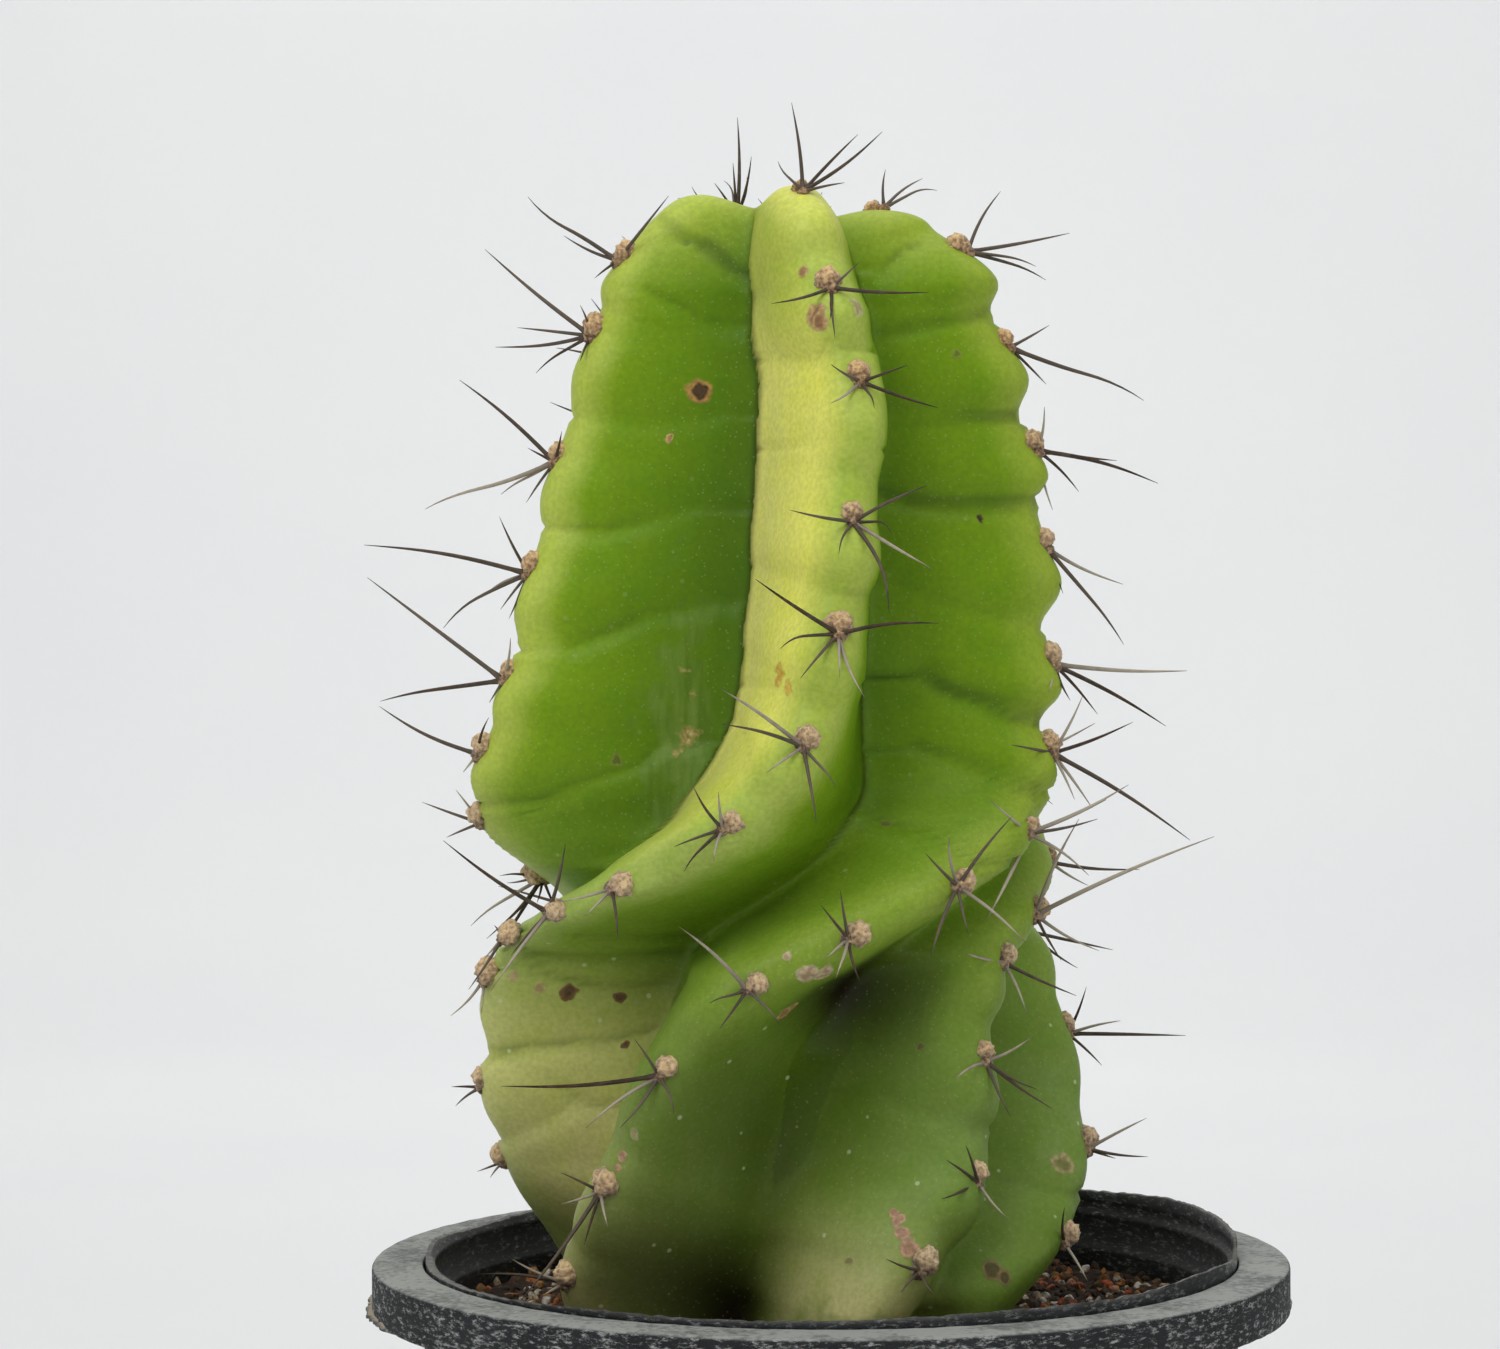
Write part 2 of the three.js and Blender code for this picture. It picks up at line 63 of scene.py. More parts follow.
def addNode(tree, kind, inputs=None, stops=(), **settings):
    # adds a node, sets it up, and links or fills its inputs by name or number; a colour ramp also takes
    # its stops as place and hex
    node = tree.nodes.new(kind)
    for name, value in settings.items():
        setattr(node, name, value)
    for key, value in (inputs or {}).items():
        if isinstance(value, bpy.types.NodeSocket):
            tree.links.new(value, node.inputs[key])
        else:
            node.inputs[key].default_value = value
    if stops:
        elements = node.color_ramp.elements
        while len(elements) < len(stops):
            elements.new(0.5)
        for element, (place, hexCode) in zip(elements, stops):
            element.position = place
            element.color = colour(hexCode)
    return node


def grain(size):
    # texture scale for a pattern whose features are this many millimetres across
    return 1000 / size


def startMaterial(name, fieldNames=(), **settings):
    # a new material with its shader's constant values set, where it is on the piece, and what is stored
    # on the piece for it
    material = bpy.data.materials.new(name)
    material.use_nodes = True
    tree = material.node_tree
    shader = tree.nodes["Principled BSDF"]
    for key, value in settings.items():
        shader.inputs[key.replace("_", " ")].default_value = value
    where = addNode(tree, "ShaderNodeTexCoord").outputs["Object"]
    field = {
        key: addNode(tree, "ShaderNodeAttribute", attribute_name=key).outputs["Fac"] for key in fieldNames
    }
    return material, tree, shader, where, field


def paintOver(tree, base, layers):
    # lays colours over a base one by one. A layer is the value that says where, its colour, and, when the
    # value isn't the share itself, the low and high end of the value and the share at each end.
    for value, tone, *ends in layers:
        if ends:
            inputs = {0: value, 1: ends[0], 2: ends[1], 3: ends[2], 4: ends[3]}
            value = addNode(tree, "ShaderNodeMapRange", inputs, **smoothly).outputs[0]
        tone = colour(tone) if isinstance(tone, str) else tone
        base = addNode(tree, "ShaderNodeMix", {0: value, 6: base, 7: tone}, data_type="RGBA").outputs[2]
    return base


def finishMaterial(tree, shader, tone, height, strength, depth):
    # the finished colour, and a bump as deep as this many metres
    bump = addNode(tree, "ShaderNodeBump", {"Strength": strength, "Distance": depth, "Height": height})
    tree.links.new(tone, shader.inputs["Base Color"])
    tree.links.new(bump.outputs[0], shader.inputs["Normal"])


def makePiece(name, vertices, faces, material):
    # vertices come in millimetres and are stored in metres
    mesh = bpy.data.meshes.new(name)
    points = (np.asarray(vertices, float) * millimetre).tolist()
    mesh.from_pydata(points, [], faces)
    mesh.polygons.foreach_set("use_smooth", [True] * len(faces))
    if material:
        mesh.materials.append(material)
    piece = bpy.data.objects.new(name, mesh)
    bpy.context.scene.collection.objects.link(piece)
    return piece


def storeField(piece, name, values):
    field = piece.data.attributes.new(name, "FLOAT", "POINT")
    field.data.foreach_set("value", np.asarray(values, np.float32).ravel())


def skinFaces(rows, sides):
    # faces over rings of points, one ring per row from the bottom up
    faces = []
    for row in range(rows - 1):
        low = row * sides
        high = low + sides
        for i in range(sides):
            following = (i + 1) % sides
            faces.append((low + i, low + following, high + following, high + i))
    return faces


def capFaces(start, sides, point, upward):
    # fan from a ring to a single point
    pairs = [(start + i, start + (i + 1) % sides) for i in range(sides)]
    return [(a, b, point) if upward else (b, a, point) for a, b in pairs]


def along(rows, place):
    # smooth curve through rows of numbers whose first is the place along it, in falling order
    rows = np.asarray(rows, float)
    last = len(rows) - 1
    at = np.clip(np.asarray(place, float), rows[last, 0], rows[0, 0])
    i = np.minimum((rows[1:, 0] > at[..., None]).sum(-1), last - 1)
    a, b = rows[i], rows[i + 1]
    p, q = rows[np.maximum(i - 1, 0)], rows[np.minimum(i + 2, last)]
    span = b[..., :1] - a[..., :1]
    t = (at[..., None] - a[..., :1]) / span
    startSlope = (b - p) / (b[..., :1] - p[..., :1]) * span
    endSlope = (q - a) / (q[..., :1] - a[..., :1]) * span
    curve = a * (2 * t**3 - 3 * t**2 + 1) + startSlope * (t**3 - 2 * t**2 + t)
    curve = curve + b * (3 * t**2 - 2 * t**3) + endSlope * (t**3 - t**2)
    return curve[..., 1:]


def bakeNodes(source, tree, name, settings):
    # runs a node tree on a piece and keeps the result as a plain mesh in a new piece
    modifier = source.modifiers.new(tree.name, "NODES")
    modifier.node_group = tree
    for item in tree.interface.items_tree:
        if item.item_type == "SOCKET" and item.in_out == "INPUT" and item.name in settings:
            modifier[item.identifier] = settings[item.name]
    evaluated = source.evaluated_get(bpy.context.evaluated_depsgraph_get())
    mesh = bpy.data.meshes.new_from_object(evaluated)
    source.modifiers.remove(modifier)
    bpy.data.objects.remove(source)
    piece = bpy.data.objects.new(name, mesh)
    bpy.context.scene.collection.objects.link(piece)
    return piece


def startTree(name, **inputs):
    # geometry tree with a geometry input and output, and the named inputs given as kind and value
    tree = bpy.data.node_groups.new(name, "GeometryNodeTree")
    tree.interface.new_socket("Geometry", in_out="INPUT", socket_type="NodeSocketGeometry")
    for key, (kind, value) in inputs.items():
        socket = tree.interface.new_socket(key, in_out="INPUT", socket_type="NodeSocket" + kind)
        socket.default_value = value
    tree.interface.new_socket("Geometry", in_out="OUTPUT", socket_type="NodeSocketGeometry")
    return tree, tree.nodes.new("NodeGroupInput")


def endTree(tree, geometry, material):
    # the export drops instances, so every tree ends in real geometry with its material
    real = addNode(tree, "GeometryNodeRealizeInstances", {0: geometry})
    finished = addNode(tree, "GeometryNodeSetMaterial", {0: real.outputs[0], "Material": material})
    addNode(tree, "NodeGroupOutput", {0: finished.outputs[0]})


def hashShare(*keys):
    # the same pseudo-random share for the same keys, every run
    return random.Random(" ".join(map(str, keys))).random()


# ---- the stem's shape ----------------------------------------------------------------------------

creaseSizes = {
    "above": 7.5,           # how far the skin is drawn in above a crease
    "below": 2.2,           # and below it
    "line": 1.9,            # width of the painted shade line along it
    "lineShade": 0.3,
    "hollowShade": 0.22,
}
stemSizes = {
    "offset": -9,           # the stem stands left of the pot's middle
    "buried": 42,
    "shoulder": 219,        # height above the soil where the rounded top starts
    "capRun": 64,           # from there over the top, along the rib
    "valleyRadius": 20,
    "join": 12,             # sharpness of the valley between two ribs
    "squareness": 2.6,      # of a rib's rounded crest
    "foldWidth": 1.3,       # how much a fold across a face changes the rib's half thickness
    "foldLeast": 0.1,
    "foldSpread": 0.5,
    "lumps": ((17, 0.45), (6.5, 0.2)),    # how far across and how high the skin's unevenness is
    "swell": 2.1,           # swelling below each pad
    "notch": 1.9,           # nick below each swelling
    "columns": 380,
    "rowStep": 1.25,
    "capRows": 52,
}

# Rounded top: share of the run, share of the shoulder's radius, height above the shoulder.
crestTop = [
    [1, 0, 8], [0.875, 0.13, 14], [0.75, 0.26, 21], [0.625, 0.4, 25], [0.5, 0.55, 25],
    [0.375, 0.71, 21], [0.25, 0.85, 14.5], [0.125, 0.95, 7], [0, 1, 0],
]
valleyTop = [[1, 0, 8], [0.75, 0.34, 8], [0.5, 0.66, 8], [0.25, 0.9, 5.5], [0, 1, 0]]

# How far the ribs have wound round at a height, so that the skin's columns follow them.
winding = [[219, 0], [140, -4], [115, -20], [100, -60], [85, -92], [60, -115], [20, -135], [-1, -142]]

# From one pad (0) down to the next (1): the crest's swelling, and the fold across both faces.
swellingShape = [
    [1, -0.55], [0.86, -0.75], [0.7, -1], [0.6, -0.35], [0.48, 0.55], [0.33, 1], [0.17, 0.5], [0, -0.55],
]
foldShape = [
    [1, -0.1], [0.86, -0.35], [0.74, -0.8], [0.68, -1], [0.62, -0.55], [0.55, 0.25], [0.42, 0.6],
    [0.25, 0.5], [0.1, 0.1], [0, -0.1],
]
foldTilt = [[283, 10], [235, 8], [205, 3], [175, -2], [150, -7], [125, -12], [105, -13], [80, -6], [0, -4]]

# Folds pressed into the faces: the rib, the depth in millimetres, and the line as bearings and
# heights above the soil.
creases = [
    ("a", 2.2, [[-42, 233], [-37, 231], [-29, 228], [-21, 226]]),
    ("a", 1.3, [[-54, 223], [-47, 220], [-40, 217], [-31, 215], [-24, 215]]),
    ("a", 0.8, [[-67, 197], [-63, 196], [-56, 195], [-47, 195], [-37, 196]]),
    ("a", 1.0, [[-71, 173], [-64, 172], [-60, 173], [-53, 175], [-46, 176]]),
    ("a", 1.2, [[-67, 147], [-61, 150], [-55, 154], [-46, 155], [-36, 156], [-29, 156]]),
    ("a", 1.3, [[-73, 112], [-68, 116], [-63, 119], [-57, 122], [-52, 126], [-46, 127]]),
    ("b", 1.0, [[-5, 207], [3, 206], [7, 207], [10, 209]]),
    ("b", 0.8, [[6, 189], [10, 189], [15, 189], [20, 188]]),
    ("b", 0.6, [[6, 141], [10, 141], [16, 139]]),
    ("b", 1.0, [[-58, 88], [-55, 87], [-53, 85], [-50, 83]]),
    ("b", 1.7, [[-66, 84], [-64, 80], [-59, 79], [-52, 79], [-42, 80], [-30, 82]]),
    ("b", 1.5, [[-66, 78], [-65, 75], [-61, 72], [-55, 72], [-42, 74], [-30, 76]]),
    ("b", 1.5, [[-80, 59], [-76, 59], [-72, 60], [-68, 61], [-65, 62], [-59, 64], [-45, 67]]),
    ("b", 0.9, [[-75, 58], [-71, 53], [-70, 49], [-68, 45]]),
    ("b", 1.0, [[-86, 39], [-82, 40], [-79, 41], [-75, 44], [-71, 47]]),
    ("c", 1.1, [[44, 227], [48, 229], [53, 232], [56, 233]]),
    ("c", 0.8, [[42, 213], [46, 214], [53, 215], [59, 216], [67, 217]]),
    ("c", 1.1, [[42, 197], [47, 197], [55, 197], [61, 196], [68, 195], [74, 195]]),
    ("c", 2.4, [[46, 179], [51, 178], [60, 177], [65, 176], [70, 176], [78, 178]]),
    ("c", 0.9, [[42, 161], [47, 160], [55, 158], [62, 155], [67, 153], [76, 150]]),
    ("c", 2.0, [[54, 140], [59, 137], [64, 134], [67, 131], [72, 130], [78, 129]]),
    ("c", 1.4, [[51, 126], [55, 123], [59, 120], [62, 117], [68, 115]]),
    ("c", 1.3, [[26, 114], [32, 111], [37, 109], [40, 106], [44, 102]]),
    ("d", 0.8, [[31, 52], [36, 49], [40, 48], [46, 45]]),
    ("e", 1.3, [[64, 34], [67, 33], [70, 32], [72, 30], [78, 28]]),
]

# Each rib: its crest's [height above the soil, azimuth, radius], half its thickness at the crest and
# at the root, where its crest ends on top, how much painted light lifts its green and how far painted shade
# holds down its crest's green on the side away from the light, how lime its crest is, partly painted light,
# how strong its swellings are, and its pads. A pad is its place along the rib, then the tips of its
# spines measured from the pad, each with an optional bend of its last third.
ribs = {
    "a": {
        "route": [
            [219, -70, 43], [189, -76, 51], [164, -77, 57], [140, -78, 62.5], [125, -80, 67.5],
            [114, -84, 69], [106, -88, 65], [99, -94, 58], [92, -104, 50], [85, -128, 50],
            [77, -152, 57], [63, -175, 63], [38, -195, 62], [13, -212, 57], [-1, -218, 50],
        ],
        "crest": 12.5, "root": [[219, 21], [0, 21]], "topAzimuth": -60, "topHeight": 1,
        "lift": 0, "tone": 0.97, "lime": 0.3, "bumps": [[219, 0.6], [0, 0.6]],
        "pads": [
            [268, [-11, 2, 8, -2], [-14, -2, 5, 2], [-2, 1, 13], [-1, 3, 23], [-6, -5, 8], [-8, 3, 6, 2],
                [1, 2, 10, -2], [2, -2, 14], [-4, 0, 9, 2]],
            [232, [-21, 12, 14, -3], [10, -9, 12], [-13, 6, 5], [-6, -4, -5]],
            [215, [-24, 8, 18], [-22, 10, -3], [-17, 7, 1], [-13, 5, -9, 1], [-3, -4, 5], [-3, -5, -7]],
            [188, [-22, 10, 17], [-30, 14, -11, 3], [-7, 5, 2], [-13, 8, -8, 1], [-7, -1, -10], [1, -8, 5]],
            [164, [-36, -2, 5], [-20, 10, -13, 2], [-11, 8, -6], [-7, -1, 11], [-7, 1, -9], [-5, -2, -11]],
            [141, [-30, -2, 21], [-29, 16, -6, 1], [1, -8, 8], [-4, -2, -6]],
            [125, [-23, 10, 9], [2, -8, 7], [-4, -2, -5]],
            [110, [-13, 5, 3], [-8, 9, -5], [-5, -3, 6]],
            [60, [-3, 30, 8], [-9, 12, -4], [9, 9, 3]],
        ],
    },
    "b": {
        "route": [
            [219, 12, 46], [203, 17, 51], [174, 14, 55], [151, 10, 59], [128, 3, 61],
            [111, -12, 62], [99, -33, 62], [92, -51, 63.5], [86, -66, 65.5], [73, -77, 67.5],
            [53, -82, 67.5], [35, -92, 63], [18, -108, 57], [-1, -120, 50],
        ],
        "crest": 11.5, "root": [[219, 13], [0, 13]], "topAzimuth": 0, "topHeight": 1.02,
        "lift": 0, "tone": 1.0, "lime": 0.18, "bumps": [[219, 1.3], [108, 1.3], [84, 0.4], [0, 0.2]],
        "pads": [
            [248, [-2, 4, 19], [12, 2, 12], [17, -3, 12], [9, -6, 1], [-5, -2, 6, -1]],
            [223, [-12, -12, -5], [20, -14, -3], [1, -10, -12, 2], [0, -8, -8], [6, -3, 4]],
            [203, [-6, -8, 2], [10, -5, 2], [16, -8, -7], [3, -6, -7, 2], [-6, -9, -6]],
            [174, [-13, -13, 1], [15, -9, 6], [16, -10, -11], [7, -15, -20, 2], [8, -5, -4, 3],
                [-3, -9, -8, 2]],
            [151, [-17, -17, 10], [20, -12, 1], [5, -10, -14], [0, -9, -10, 1], [-8, -11, -10],
                [-12, -12, -4, 2]],
            [128, [-17, -16, 11], [-17, -15, 4], [-8, -9, -6], [2, -12, -16], [6, -8, -9, 1]],
            [111, [-7, -6, 8], [-2, -6, 7], [-11, -7, -4], [-9, -8, -9, 1], [-3, -6, -7]],
            [98, [-12, -4, -3], [-7, -4, -6], [0, -10, -10]],
            [92, [-23, -2, 15], [3, -14, 15], [-13, -6, -16], [-9, -3, -9]],
            [86, [-8, -6, -11], [-5, 0, -5], [-3, 1, 2]],
            [77, [-8, -1, -9], [-1, -6, -8]],
            [53, [-7, 6, -2], [-6, 4, -6]],
            [35, [-6, 5, -4], [-3, 2, -5]],
        ],
    },
    "c": {
        "route": [
            [219, 72, 48], [190, 77, 55.5], [169, 78, 57.5], [144, 78, 59], [125, 75, 59], [110, 65, 58.5],
            [98, 38, 58], [88, 13, 58], [77, -9, 58.5], [60, -27, 58], [35, -42, 58.5], [13, -57, 57],
            [-1, -62, 51],
        ],
        "crest": 12.5, "root": [[219, 19], [112, 19], [90, 12], [70, 10], [35, 13], [0, 13]],
        "topAzimuth": 62, "topHeight": 0.86,
        "lift": 0.15, "tone": 0.84, "lime": 0.2, "bumps": [[219, 1], [110, 1], [88, 0.6], [0, 0.4]],
        "pads": [
            [256, [2, 3, 9], [13, -1, 4, 2], [10, 3, 7]],
            [235, [24, 8, 4], [9, 7, 13], [16, -2, -4, 1], [18, -3, -7, 1]],
            [212, [31, 12, -12, 3], [10, 6, 4], [9, 1, -9]],
            [190, [28, 12, -8], [19, 12, -3], [10, 3, -10], [4, -1, -14], [2, -5, 8]],
            [169, [18, 10, -9], [17, -2, -22, 1], [4, -2, -11]],
            [144, [31, 15, -3], [26, 12, -15], [10, -1, -12], [4, -3, -9], [-1, -8, -7]],
            [125, [30, -2, -20], [19, 11, 5], [7, -2, 11], [-9, -13, 1], [9, -2, -13], [5, -5, -11]],
            [108, [-9, -12, 7], [17, 6, 6], [22, 9, 9], [15, 4, 2], [13, 3, -10], [-10, -16, -18]],
            [98, [10, -7, 14], [-3, -11, 10], [-8, -13, 7], [-7, -16, -14], [1, -9, -10], [13, -6, -12]],
            [88, [-3, -8, 10], [-7, -9, 7], [-6, -8, -4], [-4, -9, -8, 1], [1, -7, -9]],
            [78, [-15, -12, 13], [-9, -6, -3, 1], [-7, -8, -8], [5, -8, -7, 1]],
            [60, [-33, -10, -2], [-6, -5, 7], [-16, -7, -11], [-9, -7, -11], [2, -9, -8, 1]],
            [35, [-17, -12, -22], [-9, -2, 3], [-9, -6, -3], [-4, -9, -11], [1, -11, -7]],
            [14, [-12, 0, 4], [-19, 4, 0], [-5, -6, -3]],
        ],
    },
    "d": {
        "route": [
            [219, 146, 45], [183, 148, 54], [143, 143, 58], [118, 126, 59], [103, 98, 58], [91, 74, 56],
            [80, 57, 54], [61, 50, 54], [48, 49, 55], [35, 45, 55.5], [20, 31, 55], [8, 22, 53],
            [-1, 18, 49],
        ],
        "crest": 12.5, "root": [
            [219, 17], [110, 17], [92, 13], [64, 16], [38, 18], [28, 16], [12, 15], [0, 17],
        ],
        "topAzimuth": 140, "topHeight": 0.9,
        "lift": 0.07, "tone": 0.86, "lime": 0.2, "bumps": [[219, 0.8], [0, 0.8]],
        "pads": [
            [228, [8, 20, 12], [14, 12, 2], [-4, 15, 0]],
            [209],
            [190, [18, 28, 6], [14, 14, -8], [-2, 12, 6]],
            [171],
            [152, [20, 27, -8], [16, 12, 8], [2, 14, -6]],
            [136],
            [120, [26, 20, 8], [15, 4, -10], [4, 13, -4]],
            [100, [21, 8, -3], [9, 0, -6]],
            [90, [38, -4, 16], [9, -6, 20], [14, 4, -9], [5, -8, -10]],
            [81, [-9, -12, 2], [15, -2, -8], [4, -9, -11]],
            [61, [-7, -12, -4], [11, -3, -7], [14, -3, -11], [5, -8, -12], [10, -2, 4]],
            [36, [-7, -12, 5], [-3, -12, 8], [-8, -12, -3], [6, -7, -8]],
            [19, [-8, -12, 3], [-5, -11, -4], [2, -9, -5]],
        ],
    },
    "e": {
        "route": [
            [219, 218, 45], [183, 220, 54], [143, 212, 60], [118, 196, 62], [103, 160, 60], [89, 125, 58],
            [77, 107, 60], [61, 99, 62.5], [37, 88, 65], [20, 73, 62], [8, 58, 56], [-1, 54, 50],
        ],
        "crest": 12.5, "root": [[219, 17], [0, 17]], "topAzimuth": 212, "topHeight": 0.95,
        "lift": 0, "tone": 0.86, "lime": 0.2, "bumps": [[219, 0.7], [90, 0.7], [50, 0.35], [0, 0.35]],
        "pads": [
            [228, [-12, 16, 14], [-14, 9, -2], [3, 15, 4]],
            [212],
            [197, [-22, 18, 6], [-16, 9, -8], [-4, 13, 2]],
            [181],
            [166, [-24, 16, -12], [-15, 8, 6], [-3, 14, -4]],
            [150],
            [135, [-18, 26, 8], [-14, 10, -9], [4, 13, 2]],
            [112, [-2, 32, 10], [-10, 12, -6], [10, 12, -2]],
            [97],
            [83, [20, 0, -5], [12, -1, -9]],
            [62, [26, -8, -1], [12, -5, 2], [5, 1, 9], [8, -4, -8]],
            [38, [13, -5, 6], [13, -8, -2], [7, 4, -4]],
            [20, [-1, -11, 8], [4, -9, -8]],
        ],
    },
}
# Pads behind the twist, where rib a passes round the back.
ribs["a"]["pads"] += [[38], [17]]
ribs["a"]["pads"][8:8] = [[97], [86], [74]]


def betweenPads(rib, place, shape):
    # a shape that repeats from each pad to the next, gentler where the pads crowd together
    pads = np.array([pad[0] for pad in rib["pads"]], float)
    above = np.clip((pads > place[..., None]).sum(-1) - 1, 0, len(pads) - 2)
    spacing = pads[above] - pads[above + 1]
    share = np.clip((pads[above] - place) / spacing, 0, 1)
    strength = np.minimum(spacing / 22, 1)
    outside = np.maximum(np.maximum(place - pads[0], pads[-1] - place), 0)
    return along(shape, share)[..., 0] * strength * np.exp(-outside / 6), above, share


def foldStrength(letter, above, leftFace):
    # each fold across a face has its own depth, in millimetres
    least, more = stemSizes["foldLeast"], stemSizes["foldSpread"]
    depths = [[least + more * hashShare(letter, n, face) ** 2 for face in (0, 1)] for n in range(24)]
    return np.array(depths)[above, leftFace.astype(int)]


def stemSurface(bearing, place):
    # point of the skin on a bearing from the stem's axis at a place along the ribs, and what is there
    bearing, place = np.broadcast_arrays(np.asarray(bearing, float), np.asarray(place, float))
    share = np.clip((place - stemSizes["shoulder"]) / stemSizes["capRun"], 0, 1)
    crestShape = along(crestTop, share)
    valleyShape = along(valleyTop, share)
    buried = np.maximum(0, -place / stemSizes["buried"])
    shrink = crestShape[..., 0] * np.sqrt(1 - 0.9 * np.minimum(buried, 1) ** 2)
    plump = 0.55 + 0.45 * shrink
    low = np.clip(place, 0, stemSizes["shoulder"])
    sums = {key: np.zeros(place.shape) for key in ("weight", "crest", "height", "fold")}
    best, second = np.zeros(place.shape), np.zeros(place.shape)
    ribNumber = np.zeros(place.shape, int)
    sideShare = np.zeros(place.shape)
    for number, (letter, rib) in enumerate(ribs.items()):
        route = along(rib["route"], low)
        slope = (along(rib["route"], low + 1)[..., 0] - along(rib["route"], low - 1)[..., 0]) / 2
        run = route[..., 1] * np.radians(slope)
        lean = np.hypot(1, run)
        azimuth = route[..., 0] + (rib["topAzimuth"] - route[..., 0]) * share
        turn = np.radians(bearing - azimuth)
        side = np.where(np.cos(turn) > 0, np.abs(np.sin(turn)), 1)
        # a place measured square to the rib, so that its swellings lie across it where it leans
        lateral = np.clip(np.sin(turn) * route[..., 1] * shrink, -16, 16)
        square = place + lateral * run / lean**2
        swell, above, shareHere = betweenPads(rib, square, swellingShape)
        swell = swell * np.where(swell > 0, stemSizes["swell"], stemSizes["notch"])
        swell = swell * along(rib["bumps"], low)[..., 0]
        tilted = square + along(foldTilt, place)[..., 0] * np.minimum(side, 0.6) / 0.6
        fold, above, shareHere = betweenPads(rib, tilted, foldShape)
        depth = foldStrength(letter, above, np.sin(turn) < 0) * np.clip(1.15 - (side / 0.62) ** 3, 0, 1)
        depth = depth * np.clip((place - 50) / 60, 0.2, 1)
        radius = (route[..., 1] + swell) * shrink
        half = rib["crest"] * np.minimum(lean, 2.2) * plump
        root = along(rib["root"], low)[..., 0] * np.minimum(lean, 1.5) * plump
        half = half + (root - half) * side + fold * depth * stemSizes["foldWidth"]
        squareness = stemSizes["squareness"]
        blunt = (side / half) ** squareness + np.maximum(radius, 0.5) ** -squareness
        reach = blunt ** (-1 / squareness)
        weight = reach ** stemSizes["join"]
        sums["weight"] += weight
        sums["crest"] += weight * radius
        sums["height"] += weight * rib["topHeight"]
        # painted shade along the deepest line of each fold across a face
        crease = np.exp(-((shareHere - 0.68) / 0.07) ** 2) * depth * np.clip(2.2 - lean, 0, 1)
        sums["fold"] += weight * crease
        closer = reach > best
        second = np.maximum(second, np.minimum(best, reach))
        best = np.where(closer, reach, best)
        ribNumber = np.where(closer, number, ribNumber)
        sideShare = np.where(closer, np.sin(turn), sideShare)
    reach = sums["weight"] ** (1 / stemSizes["join"])
    crestRadius = sums["crest"] / sums["weight"]
    valley = stemSizes["valleyRadius"] * valleyShape[..., 0] * crestShape[..., 0]
    rise = (reach - valley) / np.maximum(crestRadius - valley, 0.01)
    lift = np.clip(rise, 0, 1) ** 0.8
    tallness = 1 + (sums["height"] / sums["weight"] - 1) * np.sin(math.pi * share)
    top = stemSizes["shoulder"] + valleyShape[..., 1]
    top = top + (crestShape[..., 1] * tallness - valleyShape[..., 1]) * lift
    height = np.where(share > 0, top, place)
    angle = np.radians(bearing)
    points = np.stack([
        stemSizes["offset"] + reach * np.sin(angle),
        -reach * np.cos(angle),
        soilTop + height,
    ], -1)
    fields = {
        "crest": np.clip(reach / np.maximum(crestRadius, 1), 0, 1),
        "fold": sums["fold"] / sums["weight"],
        "valley": np.exp(-((best - second) / 1.7) ** 2) * (1 - share),
        "rib": ribNumber,
        "side": sideShare,
    }
    return points, fields


def crestAzimuth(letter, place):
    rib = ribs[letter]
    share = max(0, (place - stemSizes["shoulder"]) / stemSizes["capRun"])
    azimuth = along(rib["route"], min(max(place, 0), stemSizes["shoulder"]))[0]
    return azimuth + (rib["topAzimuth"] - azimuth) * share


def crestFrame(letter, place):
    # a pad's centre, with the directions out of the skin and down along the rib
    azimuth = crestAzimuth(letter, place)
    centre, before, after = [stemSurface(azimuth + turn, place)[0] for turn in (0, -2, 2)]
    upper = stemSurface(crestAzimuth(letter, place + 2), place + 2)[0]
    lower = stemSurface(crestAzimuth(letter, place - 2), place - 2)[0]
    down = (lower - upper) / np.linalg.norm(lower - upper)
    outward = np.cross(down, before - after)
    outward = outward / np.linalg.norm(outward)
    if outward @ (centre - [stemSizes["offset"], 0, centre[2] - 12]) < 0:
        outward = -outward
    return centre, outward, down


# ---- materials -----------------------------------------------------------------------------------

skinTones = {
    "young": [(0.34, "#476800"), (0.6, "#618600"), (0.88, "#7b9f0a"), (1.0, "#a4be4c")],
    "old": [(0.34, "#445a08"), (0.62, "#65801e"), (0.88, "#78933c"), (1.0, "#93aa6a")],
    "weathered": [(0.35, "#556f26"), (0.5, "#6c8438"), (0.66, "#7d914c")],
    "cork": [(0.3, "#7a6a3a"), (0.52, "#a8975c"), (0.7, "#c5b585")],
}
skinFields = ("crest", "fold", "young", "lime", "cork", "shade", "tan")
scarEdge = {"rim": (1.12, 0.8), "heart": (0.75, 0.45)}    # where each starts and is full, in radii


